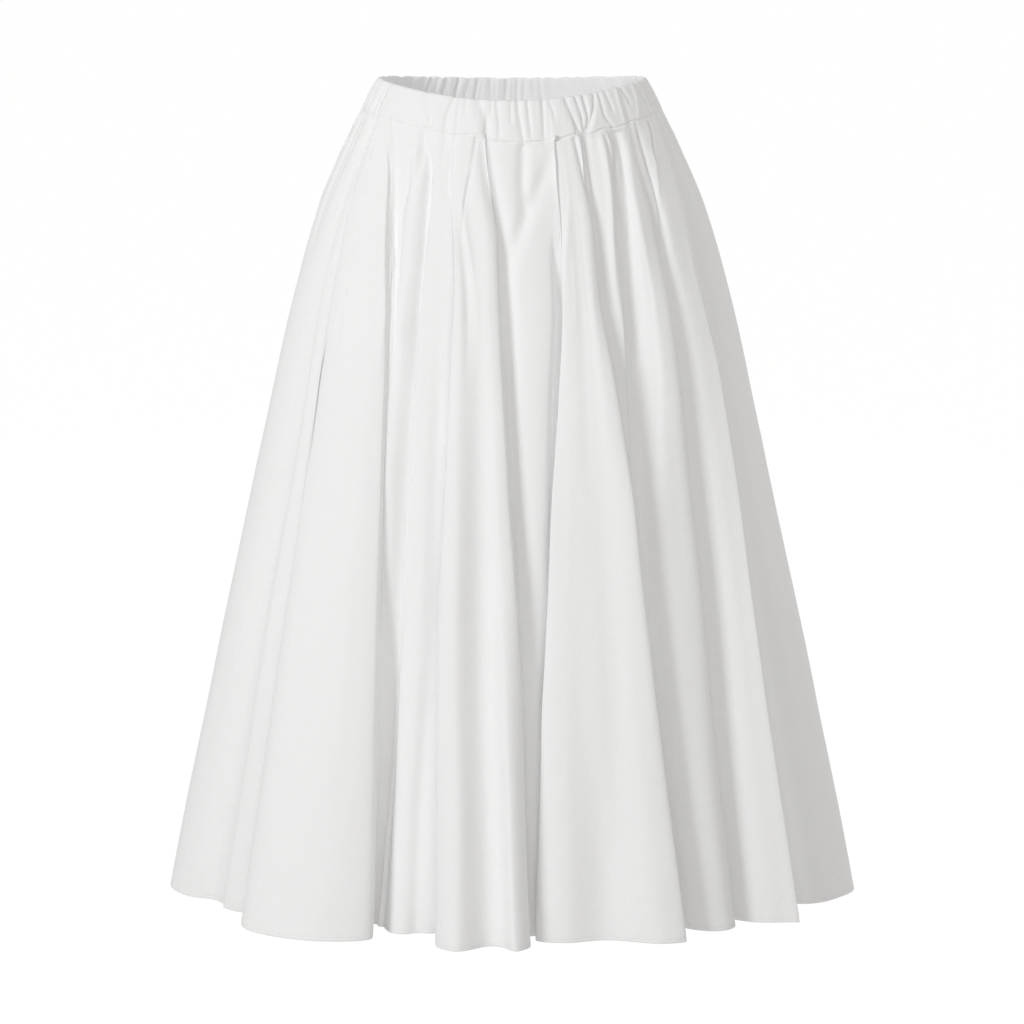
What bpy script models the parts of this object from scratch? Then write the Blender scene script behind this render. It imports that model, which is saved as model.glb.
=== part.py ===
"""A white pleated midi skirt with a gathered elastic waistband, hollow, in the shape it has when worn.

Metres, +Z up. The front faces -Y and +X is at the right when the front is seen. The origin is the middle of
the waist, halfway up the band. Angles run round the skirt from the middle of the front towards +X.
"""

from collections import namedtuple
import math

import bmesh
import bpy
import numpy as np

SKIRT = "pleated_skirt"

# Cloth and seams
CLOTH = 0.0015
BAND_WALL = 0.0028
SEAM_GAP = 0.0003

# Heights of the band's edges at the side, in the middle of the front and in the middle of the back
Height = namedtuple("Height", "side front back")
BAND_TOP = Height(0.019, 0.003, 0.013)
BAND_SEAM = Height(-0.010, -0.034, -0.022)
HEM_Z = -0.782

# Ovals that the folds reach: the drop below the origin at the side, and the half width, front and back
Oval = namedtuple("Oval", "drop half_width front back")
BAND_TOP_OVAL = Oval(-0.019, 0.129, 0.092, 0.097)
OVALS = (
    Oval(0.010, 0.1443, 0.106, 0.1115),
    Oval(0.050, 0.1635, 0.118, 0.127),
    Oval(0.103, 0.186, 0.133, 0.146),
    Oval(0.200, 0.214, 0.151, 0.166),
    Oval(0.300, 0.2365, 0.166, 0.181),
    Oval(0.400, 0.2585, 0.180, 0.195),
    Oval(0.500, 0.281, 0.194, 0.208),
    Oval(0.600, 0.302, 0.208, 0.221),
    Oval(0.700, 0.3235, 0.222, 0.234),
    Oval(0.782, 0.340, 0.234, 0.245),
)
HIP_DROP = 0.200

# Share of a fold's depth at the hem, as a part of the oval, that it has at the band and at the hip
WAIST_SHARE = 0.07
HIP_SHARE = 0.36

# One row for each fold, round the skirt: the angles of its left and right edges at the band, the hip and the
# hem, then how far out its cloth reaches at the hem at five places from left to right, in percent of the
# oval. A valley is the angle and the reach at the hem of a floor at the right of the fold.
Fold = namedtuple("Fold", "name waist hip hem reach valley")
FRONT_FOLDS = (
    Fold("left_panel", (-64.0, -53.8), (-56.0, -34.3), (-53.0, -24.8), (95.5, 102, 104.5, 102, 93), None),
    Fold("left_recess", (-53.0, -33.0), (-33.5, -25.0), (-34.5, -29.0), (73, 70, 71, 75, 75), None),
    Fold("left_inner", (-32.2, -24.2), (-24.3, -15.9), (-27.2, -14.0), (78, 82, 83, 80, 76), (-14.0, 73)),
    Fold("centre_left", (-23.4, -11.0), (-15.4, -3.7), (-12.3, 3.1), (97.5, 104, 97, 100, 95.5), None),
    Fold("centre_recess", (-10.5, 15.0), (-3.2, 11.2), (-2.5, 8.5), (70, 76, 80, 77, 73), None),
    Fold("centre_right", (15.4, 24.5), (12.4, 23.8), (4.7, 29.6), (87, 91.5, 90, 100, 96.5), None),
    Fold("right_sliver", (25.0, 36.0), (24.2, 30.5), (29.5, 32.5), (80, 81, 82, 80, 78), (34.0, 77)),
    Fold("right_inner", (40.5, 49.5), (34.0, 43.2), (35.5, 45.4), (87, 92, 93, 91, 88), (48.5, 77)),
    Fold("right_panel", (53.5, 71.5), (49.0, 61.6), (48.9, 56.4), (89, 93, 96, 98.5, 97), None),
)
BACK_FOLDS = (
    Fold("right_side", (72.5, 88.0), (62.6, 88.0), (67.0, 91.0), (81, 92, 97, 100, 98.5), (95.0, 84)),
    Fold("back_1", (90.0, 107.0), (92.0, 108.0), (96.0, 113.0), (94, 100, 101, 99, 93), (116.5, 76)),
    Fold("back_2", (109.0, 121.0), (111.0, 124.0), (114.0, 131.0), (93, 99, 100, 100, 95), None),
    Fold("back_recess_1", (122.0, 137.0), (125.5, 136.0), (132.0, 138.0), (80, 77, 76, 77, 79), None),
    Fold("back_3", (138.0, 151.0), (137.5, 154.0), (136.0, 160.0), (92, 99, 96, 100, 94), (163.5, 75)),
    Fold("back_4", (153.0, 170.0), (156.0, 171.0), (160.5, 175.0), (92, 97, 100, 99, 93), (178.5, 80)),
    Fold("back_5", (172.0, 189.0), (173.0, 190.0), (177.0, 197.0), (94, 100, 97, 101, 95), (200.0, 75)),
    Fold("back_6", (191.0, 205.0), (192.0, 206.0), (198.0, 212.0), (93, 99, 100, 98, 93), None),
    Fold("back_recess_2", (206.0, 219.0), (207.0, 215.0), (212.0, 217.0), (79, 78, 77, 78, 80), None),
    Fold("back_7", (220.0, 236.0), (216.0, 236.0), (215.0, 238.0), (92, 100, 98, 101, 95), (241.0, 77)),
    Fold("back_8", (238.0, 258.0), (239.0, 258.0), (240.0, 257.0), (94, 99, 100, 100, 96), (260.0, 82)),
    Fold("left_side", (261.0, 290.5), (261.0, 293.5), (262.0, 285.0), (96.5, 100, 99, 95, 89), None),
    Fold("left_strip", (291.0, 295.0), (295.0, 303.0), (290.7, 303.0), (88.5, 90, 89.5, 87.5, 85), None),
)
FACE_PLACES = (0.0, 0.2, 0.5, 0.8, 1.0)

# Small pleats under the band at the front, one row each: the angles where a pleat starts and ends, the drops
# where it starts and ends, its depth, and its trough's width in degrees. Those at the back follow a rule.
Pleat = namedtuple("Pleat", "first last start end depth width")
FRONT_PLEATS = (
    Pleat(-52.5, -37.5, 0.012, 0.140, 0.0058, 4.4),
    Pleat(-36.5, -38.0, 0.026, 0.110, 0.0038, 4.0),
    Pleat(-34.5, -31.6, 0.012, 0.066, 0.0064, 3.6),
    Pleat(-30.2, -27.6, 0.014, 0.160, 0.0064, 4.0),
    Pleat(-25.6, -24.6, 0.012, 0.050, 0.0038, 3.0),
    Pleat(-21.6, -15.4, 0.040, 0.190, 0.0052, 3.4),
    Pleat(-14.2, -14.9, 0.014, 0.110, 0.0049, 3.0),
    Pleat(-11.0, -2.8, 0.012, 0.170, 0.0090, 6.0),
    Pleat(12.0, -1.0, 0.020, 0.140, 0.0064, 7.0),
    Pleat(3.2, 1.2, 0.012, 0.088, 0.0049, 5.0),
    Pleat(16.0, 13.4, 0.012, 0.160, 0.0055, 3.4),
    Pleat(22.8, 25.2, 0.012, 0.150, 0.0067, 3.6),
    Pleat(27.4, 27.2, 0.012, 0.130, 0.0043, 2.8),
    Pleat(39.0, 36.8, 0.012, 0.160, 0.0067, 4.6),
    Pleat(52.4, 48.6, 0.012, 0.160, 0.0064, 4.2),
    Pleat(60.4, 52.0, 0.012, 0.090, 0.0043, 3.2),
)
PLEAT_RISE = 0.15
BACK_PLEATS = 15
BACK_PLEAT_END = 0.120
BACK_PLEAT_END_VARIES = 0.045
BACK_PLEAT_DEPTH = 0.0038
BACK_PLEAT_WIDTH = 4.4
BACK_PLEAT_VARIES = 0.33
BACK_PLEAT_WANDERS = 3.0

# Creases of the gathered band at the front, one row each: the angles at its top edge and at its seam, the
# depth, and the width of the trough in degrees. Those at the back follow a rule.
Crease = namedtuple("Crease", "top seam depth width")
BAND_CREASES = (
    Crease(-42.0, -34.0, 0.0026, 3.4),
    Crease(-28.5, -29.0, 0.0024, 3.2),
    Crease(-22.0, -15.5, 0.0018, 2.6),
    Crease(-9.0, -7.5, 0.0015, 2.4),
    Crease(2.5, 5.0, 0.0028, 3.2),
    Crease(7.5, 8.0, 0.0016, 2.2),
    Crease(13.0, 12.0, 0.0018, 2.6),
    Crease(18.0, 18.5, 0.0014, 2.2),
    Crease(27.5, 29.0, 0.0026, 2.8),
    Crease(33.0, 32.0, 0.0024, 2.4),
    Crease(39.0, 38.0, 0.0018, 2.4),
    Crease(46.0, 43.0, 0.0024, 2.8),
    Crease(53.0, 49.0, 0.0022, 2.8),
    Crease(61.0, 58.0, 0.0024, 3.0),
)
BACK_CREASES = 26
BACK_CREASE_DEPTH = 0.0018
BACK_CREASE_WIDTH = 3.1
BACK_CREASE_VARIES = 0.40
BACK_CREASE_WANDERS = 2.4
BACK_CREASE_LEANS = 1.6
MOST_DRAWN = 0.0032
BAND_SWELL = 0.0012

# How finely the solids are divided
STEPS_PER_PLACE = 2
PANEL_ROWS = 14
ROW_SPREAD = 1.6
BAND_ROWS = 4
BAND_STEP = 1.7
SHARP_ANGLE = 50.0

# Materials: colour and roughness of the cotton outside, and of the band's inside at the back
COTTON = (0.86, 0.86, 0.855, 1.0)
BACK_COTTON = (0.83, 0.83, 0.835, 1.0)
ROUGHNESS = 0.88


def clear_scene():
    for obj in list(bpy.data.objects):
        bpy.data.objects.remove(obj, do_unlink=True)


def cloth_material(name, colour):
    material = bpy.data.materials.new(name)
    material.use_nodes = True
    shader = material.node_tree.nodes["Principled BSDF"]
    shader.inputs["Base Color"].default_value = colour
    shader.inputs["Roughness"].default_value = ROUGHNESS
    shader.inputs["Metallic"].default_value = 0.0
    material.diffuse_color = colour
    return material


def height_at(heights, angle):
    """Height of a band edge at an angle, smooth from the side to the middle of the front or back."""
    middle = heights.front if math.cos(angle) > 0 else heights.back
    return heights.side + (middle - heights.side) * math.cos(angle) ** 2


def oval_point(oval, degrees, reach):
    angle = math.radians(degrees)
    depth = oval.front if math.cos(angle) > 0 else oval.back
    return (reach * oval.half_width * math.sin(angle), -reach * depth * math.cos(angle))


def oval_angle(oval, x, y):
    depth = oval.front if y < 0 else oval.back
    return math.atan2(x / oval.half_width, -y / depth)


def oval_at(drop):
    """The oval at a drop below the origin, on smooth curves through the table's rows."""
    drops = [row.drop for row in OVALS]
    place = min(max(drop, drops[0]), drops[-1])
    i = max(k for k in range(len(drops) - 1) if drops[k] <= place)
    rows = [OVALS[max(i - 1, 0)], OVALS[i], OVALS[i + 1], OVALS[min(i + 2, len(OVALS) - 1)]]
    f = (place - drops[i]) / (drops[i + 1] - drops[i])
    sides = []
    for column in ("half_width", "front", "back"):
        v = [getattr(row, column) for row in rows]
        slope_in = (v[2] - v[0]) / (rows[2].drop - rows[0].drop) * (rows[2].drop - rows[1].drop)
        slope_out = (v[3] - v[1]) / (rows[3].drop - rows[1].drop) * (rows[2].drop - rows[1].drop)
        sides.append(
            v[1] * (2 * f**3 - 3 * f**2 + 1)
            + slope_in * (f**3 - 2 * f**2 + f)
            + v[2] * (3 * f**2 - 2 * f**3)
            + slope_out * (f**3 - f**2)
        )
    return Oval(place, *sides)


def ring_places(folds):
    """The angles at the band, hip and hem, and the reach at the hem, of each place the section passes."""
    places = []
    for k, fold in enumerate(folds):
        for share, reach in zip(FACE_PLACES, fold.reach):
            edges = [left + (right - left) * share for left, right in (fold.waist, fold.hip, fold.hem)]
            places.append((*edges, reach))
        if fold.valley:
            after = folds[(k + 1) % len(folds)]
            turn = 360.0 if k == len(folds) - 1 else 0.0
            at, reach = fold.valley
            waist = (fold.waist[1] + after.waist[0] + turn) / 2
            hip = (fold.hip[1] + after.hip[0] + turn) / 2
            places.append((waist, hip, at, reach))
    return places


def between(a, b, knot_a, knot_b, knot):
    return a + (b - a) * (knot - knot_a) / (knot_b - knot_a)


def smooth_ring(points, steps):
    """A closed centripetal curve through the points, with so many samples from each point to the next."""
    count = len(points)
    ring = []
    for i in range(count):
        p = [np.array(points[(i + k) % count]) for k in (-1, 0, 1, 2)]
        knots = [0.0]
        for a, b in zip(p, p[1:]):
            knots.append(knots[-1] + math.sqrt(np.linalg.norm(b - a)))
        for step in range(steps):
            t = knots[1] + (knots[2] - knots[1]) * step / steps
            lower = [between(p[k], p[k + 1], knots[k], knots[k + 1], t) for k in range(3)]
            upper = [between(lower[k], lower[k + 1], knots[k], knots[k + 2], t) for k in range(2)]
            ring.append(between(upper[0], upper[1], knots[1], knots[2], t))
    return np.array(ring)


def key_rings(steps):
    """The sections at the band, the hip and the hem, as closed rings with the same number of samples."""
    places = ring_places(FRONT_FOLDS + BACK_FOLDS)
    keys = ((OVALS[0].drop, 0, WAIST_SHARE), (HIP_DROP, 1, HIP_SHARE), (OVALS[-1].drop, 2, 1.0))
    rings = []
    for drop, column, share in keys:
        oval = oval_at(drop)
        points = [oval_point(oval, place[column], 1 + (place[3] / 100 - 1) * share) for place in places]
        rings.append(smooth_ring(points, steps))
    return rings


def blend_of_keys(values, value):
    """Weights of three keys whose quadratic blend passes through each of them."""
    a, b, c = values
    return (
        (value - b) * (value - c) / ((a - b) * (a - c)),
        (value - a) * (value - c) / ((b - a) * (b - c)),
        (value - a) * (value - b) / ((c - a) * (c - b)),
    )


def section(rings, drop):
    """The closed section at a drop: it widens as the ovals do."""
    keys = [oval_at(d) for d in (OVALS[0].drop, HIP_DROP, OVALS[-1].drop)]
    here = oval_at(drop)
    wide = blend_of_keys([k.half_width for k in keys], here.half_width)
    deep_front = blend_of_keys([k.front for k in keys], here.front)
    deep_back = blend_of_keys([k.back for k in keys], here.back)
    xs = sum(w * ring[:, 0] for w, ring in zip(wide, rings))
    front = sum(w * ring[:, 1] for w, ring in zip(deep_front, rings))
    back = sum(w * ring[:, 1] for w, ring in zip(deep_back, rings))
    return np.column_stack([xs, np.where(front < 0, front, back)])


def outward(ring):
    """Outward unit normals of a closed ring that runs anticlockwise seen from above."""
    along = np.roll(ring, -1, axis=0) - np.roll(ring, 1, axis=0)
    along /= np.linalg.norm(along, axis=1)[:, None]
    return np.column_stack([along[:, 1], -along[:, 0]])


def wall_object(name, outer, inner, material, collection):
    """A closed wall between two grids of points, each a list of rows from the top down."""
    mesh = bpy.data.meshes.new(name)
    bm = bmesh.new()
    grids = [[[bm.verts.new(point) for point in row] for row in grid] for grid in (outer, inner)]
    rows, columns = len(outer), len(outer[0])
    for r in range(rows - 1):
        for c in range(columns - 1):
            out, into = grids
            bm.faces.new((out[r][c], out[r + 1][c], out[r + 1][c + 1], out[r][c + 1]))
            bm.faces.new((into[r][c], into[r][c + 1], into[r + 1][c + 1], into[r + 1][c]))
    for r, flip in ((0, False), (rows - 1, True)):
        for c in range(columns - 1):
            rim = [grids[0][r][c], grids[0][r][c + 1], grids[1][r][c + 1], grids[1][r][c]]
            bm.faces.new(reversed(rim) if flip else rim)
    for c, flip in ((0, True), (columns - 1, False)):
        for r in range(rows - 1):
            rim = [grids[0][r][c], grids[0][r + 1][c], grids[1][r + 1][c], grids[1][r][c]]
            bm.faces.new(rim if flip else reversed(rim))
    bmesh.ops.recalc_face_normals(bm, faces=bm.faces)
    bm.to_mesh(mesh)
    bm.free()
    mesh.shade_smooth()
    mesh.set_sharp_from_angle(angle=math.radians(SHARP_ANGLE))
    mesh.materials.append(material)
    obj = bpy.data.objects.new(name, mesh)
    collection.objects.link(obj)
    return obj


def with_seam_gaps(points):
    """A row of points whose two ends are drawn in by half a seam's gap."""
    row = np.array(points, dtype=float)
    for end, near in ((0, 1), (-1, -2)):
        along = row[near] - row[end]
        row[end] += along / np.linalg.norm(along) * SEAM_GAP / 2
    return row


def uneven(k, slow, fast):
    """A number from -1 to 1 that wanders as k goes up, the same on each run."""
    return 0.65 * math.sin(slow * k + 0.6) + 0.35 * math.sin(fast * k + 1.9)


def pleat_list():
    """All the small pleats under the band: those of the front, and uneven ones round the back."""
    pleats = list(FRONT_PLEATS)
    first, last = BACK_FOLDS[0].waist[0], BACK_FOLDS[-1].waist[1]
    for k in range(BACK_PLEATS):
        middle = first + (k + 0.5) * (last - first) / BACK_PLEATS + BACK_PLEAT_WANDERS * uneven(k, 2.3, 5.1)
        pleats.append(
            Pleat(
                middle,
                middle + BACK_PLEAT_WANDERS * uneven(k, 3.7, 1.3),
                OVALS[0].drop,
                BACK_PLEAT_END + BACK_PLEAT_END_VARIES * uneven(k, 1.9, 4.3),
                BACK_PLEAT_DEPTH * (1.0 + BACK_PLEAT_VARIES * uneven(k, 1.7, 2.9)),
                BACK_PLEAT_WIDTH * (1.0 + BACK_PLEAT_VARIES * uneven(k, 2.9, 1.1)),
            )
        )
    return pleats


def ease(value):
    value = min(max(value, 0.0), 1.0)
    return value * value * (3 - 2 * value)


def pleat_depth(pleats, degrees, drop):
    """How far the cloth is drawn in by the small pleats at an angle and a drop."""
    total = 0.0
    for pleat in pleats:
        share = (drop - pleat.start) / (pleat.end - pleat.start)
        if not 0.0 < share < 1.0:
            continue
        middle = pleat.first + (pleat.last - pleat.first) * share
        away = (degrees - middle + 180.0) % 360.0 - 180.0
        strength = ease(share / PLEAT_RISE) * ease((1.0 - share) / (1.0 - PLEAT_RISE))
        total += pleat.depth * strength * math.exp(-((away / (pleat.width / 2)) ** 2))
    return total


def panel(name, first, last, rings, material, collection):
    """The stretch of the skirt from one sample of the rings to another, as a wall of cloth."""
    outer, inner = [], []
    pleats = pleat_list()
    angles = [oval_angle(OVALS[0], x, y) for x, y in rings[0]]
    picks = [k % len(angles) for k in range(first, last + 1)]
    for row in range(PANEL_ROWS):
        down = (row / (PANEL_ROWS - 1)) ** ROW_SPREAD
        drop = OVALS[0].drop + (OVALS[-1].drop - OVALS[0].drop) * down
        ring = section(rings, drop)
        oval = oval_at(drop)
        draws = [pleat_depth(pleats, math.degrees(oval_angle(oval, x, y)), drop) for x, y in ring]
        ring = ring - outward(ring) * np.array(draws)[:, None]
        normals = outward(ring)
        tops = [height_at(BAND_SEAM, angles[k]) - SEAM_GAP / 2 for k in picks]
        heights = [top + (HEM_Z - top) * down for top in tops]
        flat = with_seam_gaps(ring[picks])
        outer.append([(x, y, z) for (x, y), z in zip(flat, heights)])
        inner.append([(x, y, z) for (x, y), z in zip(flat - normals[picks] * CLOTH, heights)])
    return wall_object(name, outer, inner, material, collection)


def crease_list():
    """All creases of the band: those of the front, and uneven ones that follow a rule round the back."""
    creases = list(BAND_CREASES)
    first, last = BACK_FOLDS[0].waist[0], BACK_FOLDS[-1].waist[1]
    for k in range(BACK_CREASES):
        middle = first + (k + 0.5) * (last - first) / BACK_CREASES + BACK_CREASE_WANDERS * uneven(k, 2.3, 5.1)
        lean = BACK_CREASE_LEANS * uneven(k, 3.7, 1.3)
        depth = BACK_CREASE_DEPTH * (1.0 + BACK_CREASE_VARIES * uneven(k, 1.7, 2.9))
        creases.append(Crease(middle, middle + lean, depth, BACK_CREASE_WIDTH))
    return creases


def crease_depth(creases, degrees, share_down):
    """How far the band's cloth is drawn in at an angle, at a share of the way from its top to its seam."""
    total = 0.0
    for crease in creases:
        middle = crease.top + (crease.seam - crease.top) * share_down
        away = (degrees - middle + 180.0) % 360.0 - 180.0
        total += crease.depth * math.exp(-((away / (crease.width / 2)) ** 2))
    return min(total, MOST_DRAWN)


def band(name, first, last, material, collection):
    """Half of the gathered casing, from one angle to another."""
    creases = crease_list()
    columns = int(round((last - first) / BAND_STEP))
    outer, inner = [], []
    for row in range(BAND_ROWS):
        down = row / (BAND_ROWS - 1)
        swell = BAND_SWELL * math.sin(math.pi * down)
        flat, heights, normals = [], [], []
        for k in range(columns + 1):
            degrees = first + (last - first) * k / columns
            angle = math.radians(degrees)
            top = oval_point(BAND_TOP_OVAL, degrees, 1.0)
            seam = oval_point(OVALS[0], degrees, 1.0)
            draw = crease_depth(creases, degrees, down)
            out = np.array([math.sin(angle), -math.cos(angle)])
            flat.append(np.array(top) * (1 - down) + np.array(seam) * down + out * (swell - draw))
            high = height_at(BAND_TOP, angle)
            low = height_at(BAND_SEAM, angle) + SEAM_GAP / 2
            heights.append(high + (low - high) * down)
            normals.append(out)
        flat = with_seam_gaps(flat)
        walls = flat - np.array(normals) * BAND_WALL
        outer.append([(x, y, z) for (x, y), z in zip(flat, heights)])
        inner.append([(x, y, z) for (x, y), z in zip(walls, heights)])
    return wall_object(name, outer, inner, material, collection)


def build():
    clear_scene()
    collection = bpy.data.collections.new(SKIRT)
    bpy.context.scene.collection.children.link(collection)
    rings = key_rings(STEPS_PER_PLACE)
    front_samples = (len(ring_places(FRONT_FOLDS)) - 1) * STEPS_PER_PLACE
    total = len(rings[0])
    cotton = cloth_material("cotton_front", COTTON)
    back_cotton = cloth_material("cotton_back", BACK_COTTON)
    band_cotton = cloth_material("cotton_band_front", COTTON)
    back_band_cotton = cloth_material("cotton_band_back", BACK_COTTON)
    panel("front_panel", 0, front_samples, rings, cotton, collection)
    panel("back_panel", front_samples, total, rings, back_cotton, collection)
    left_seam = FRONT_FOLDS[0].waist[0]
    right_seam = FRONT_FOLDS[-1].waist[1]
    band("waistband_front", left_seam, right_seam, band_cotton, collection)
    band("waistband_back", right_seam, left_seam + 360.0, back_band_cotton, collection)


build()
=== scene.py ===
"""The looks of the white pleated midi skirt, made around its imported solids.

Metres, +Z up. The front faces -Y and +X is at the right when the front is seen. The origin is the middle
of the waist, halfway up the band. Angles run round the skirt from the middle of the front towards +X, and
are in degrees in the tables. A drop is a distance below the origin. Each panel is one sheet of cloth on the
form of its solid, with its creases, its turned hem and its seam allowances. The band's two pieces are strips
folded over the elastic.
"""

from collections import namedtuple
import math

import bpy
import numpy as np
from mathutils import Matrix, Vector, noise


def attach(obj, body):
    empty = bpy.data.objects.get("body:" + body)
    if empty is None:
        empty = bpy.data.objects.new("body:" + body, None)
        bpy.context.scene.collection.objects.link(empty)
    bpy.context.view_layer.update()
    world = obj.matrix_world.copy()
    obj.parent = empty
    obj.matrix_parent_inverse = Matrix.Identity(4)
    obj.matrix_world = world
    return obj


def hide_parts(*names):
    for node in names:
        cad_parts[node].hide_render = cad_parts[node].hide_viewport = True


BODY = "root"

# The forms of the solids, as in the part's source
Height = namedtuple("Height", "side front back")
BAND_TOP = Height(0.019, 0.003, 0.013)
BAND_SEAM = Height(-0.010, -0.034, -0.022)
HEM_Z = -0.782
Oval = namedtuple("Oval", "drop half_width front back")
BAND_TOP_OVAL = Oval(-0.019, 0.129, 0.092, 0.097)
OVALS = [Oval(*row) for row in (
    (0.010, 0.1443, 0.106, 0.1115),
    (0.050, 0.1635, 0.118, 0.127),
    (0.103, 0.186, 0.133, 0.146),
    (0.200, 0.214, 0.151, 0.166),
    (0.300, 0.2365, 0.166, 0.181),
    (0.400, 0.2585, 0.180, 0.195),
    (0.500, 0.281, 0.194, 0.208),
    (0.600, 0.302, 0.208, 0.221),
    (0.700, 0.3235, 0.222, 0.234),
    (0.782, 0.340, 0.234, 0.245),
)]
TOP_DROP = OVALS[0].drop
HEM_DROP = OVALS[-1].drop

# The drops of the three sections that the folds are read at, and the share of the hem's reach that they have
Key = namedtuple("Key", "drop share")
KEYS = (Key(TOP_DROP, 0.07), Key(0.200, 0.36), Key(HEM_DROP, 1.0))

# One row for each large fold: the angles of its left and right edges at the band, the hip and the hem, how
# far out its cloth reaches at the hem at five places in percent of the oval, and the angle and reach of the
# valley at its right
Fold = namedtuple("Fold", "name waist hip hem reach valley")
FRONT_FOLDS = [Fold(*row) for row in (
    ("left_panel", (-64.0, -53.8), (-56.0, -34.3), (-53.0, -24.8), (95.5, 102, 104.5, 102, 93), None),
    ("left_recess", (-53.0, -33.0), (-33.5, -25.0), (-34.5, -29.0), (73, 70, 71, 75, 75), None),
    ("left_inner", (-32.2, -24.2), (-24.3, -15.9), (-27.2, -14.0), (78, 82, 83, 80, 76), (-14.0, 73)),
    ("centre_left", (-23.4, -11.0), (-15.4, -3.7), (-12.3, 3.1), (97.5, 104, 97, 100, 95.5), None),
    ("centre_recess", (-10.5, 15.0), (-3.2, 11.2), (-2.5, 8.5), (70, 76, 80, 77, 73), None),
    ("centre_right", (15.4, 24.5), (12.4, 23.8), (4.7, 29.6), (87, 91.5, 90, 100, 96.5), None),
    ("right_sliver", (25.0, 36.0), (24.2, 30.5), (29.5, 32.5), (80, 81, 82, 80, 78), (34.0, 77)),
    ("right_inner", (40.5, 49.5), (34.0, 43.2), (35.5, 45.4), (87, 92, 93, 91, 88), (48.5, 77)),
    ("right_panel", (53.5, 71.5), (49.0, 61.6), (48.9, 56.4), (89, 93, 96, 98.5, 97), None),
)]
BACK_FOLDS = [Fold(*row) for row in (
    ("right_side", (72.5, 88.0), (62.6, 88.0), (67.0, 91.0), (81, 92, 97, 100, 98.5), (95.0, 84)),
    ("back_1", (90.0, 107.0), (92.0, 108.0), (96.0, 113.0), (94, 100, 101, 99, 93), (116.5, 76)),
    ("back_2", (109.0, 121.0), (111.0, 124.0), (114.0, 131.0), (93, 99, 100, 100, 95), None),
    ("back_recess_1", (122.0, 137.0), (125.5, 136.0), (132.0, 138.0), (80, 77, 76, 77, 79), None),
    ("back_3", (138.0, 151.0), (137.5, 154.0), (136.0, 160.0), (92, 99, 96, 100, 94), (163.5, 75)),
    ("back_4", (153.0, 170.0), (156.0, 171.0), (160.5, 175.0), (92, 97, 100, 99, 93), (178.5, 80)),
    ("back_5", (172.0, 189.0), (173.0, 190.0), (177.0, 197.0), (94, 100, 97, 101, 95), (200.0, 75)),
    ("back_6", (191.0, 205.0), (192.0, 206.0), (198.0, 212.0), (93, 99, 100, 98, 93), None),
    ("back_recess_2", (206.0, 219.0), (207.0, 215.0), (212.0, 217.0), (79, 78, 77, 78, 80), None),
    ("back_7", (220.0, 236.0), (216.0, 236.0), (215.0, 238.0), (92, 100, 98, 101, 95), (241.0, 77)),
    ("back_8", (238.0, 258.0), (239.0, 258.0), (240.0, 257.0), (94, 99, 100, 100, 96), (260.0, 82)),
    ("left_side", (261.0, 290.5), (261.0, 293.5), (262.0, 285.0), (96.5, 100, 99, 95, 89), None),
    ("left_strip", (291.0, 295.0), (295.0, 303.0), (290.7, 303.0), (88.5, 90, 89.5, 87.5, 85), None),
)]
FACE_PLACES = (0.0, 0.2, 0.5, 0.8, 1.0)
FRONT = (FRONT_FOLDS[0].waist[0], FRONT_FOLDS[-1].waist[1])
BACK = (FRONT[1], FRONT[0] + 360.0)

# A place that the sections pass: its angles at the three keys, its reach at the hem, its fold and its share
Place = namedtuple("Place", "waist hip hem reach fold share")
# The pieces: a panel picks its samples out of the sections, and a band piece spans two angles
Panel = namedtuple("Panel", "name picks creases edges gathers gaps seed cut")
Band = namedtuple("Band", "name span gathers gaps seed cut")

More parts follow.
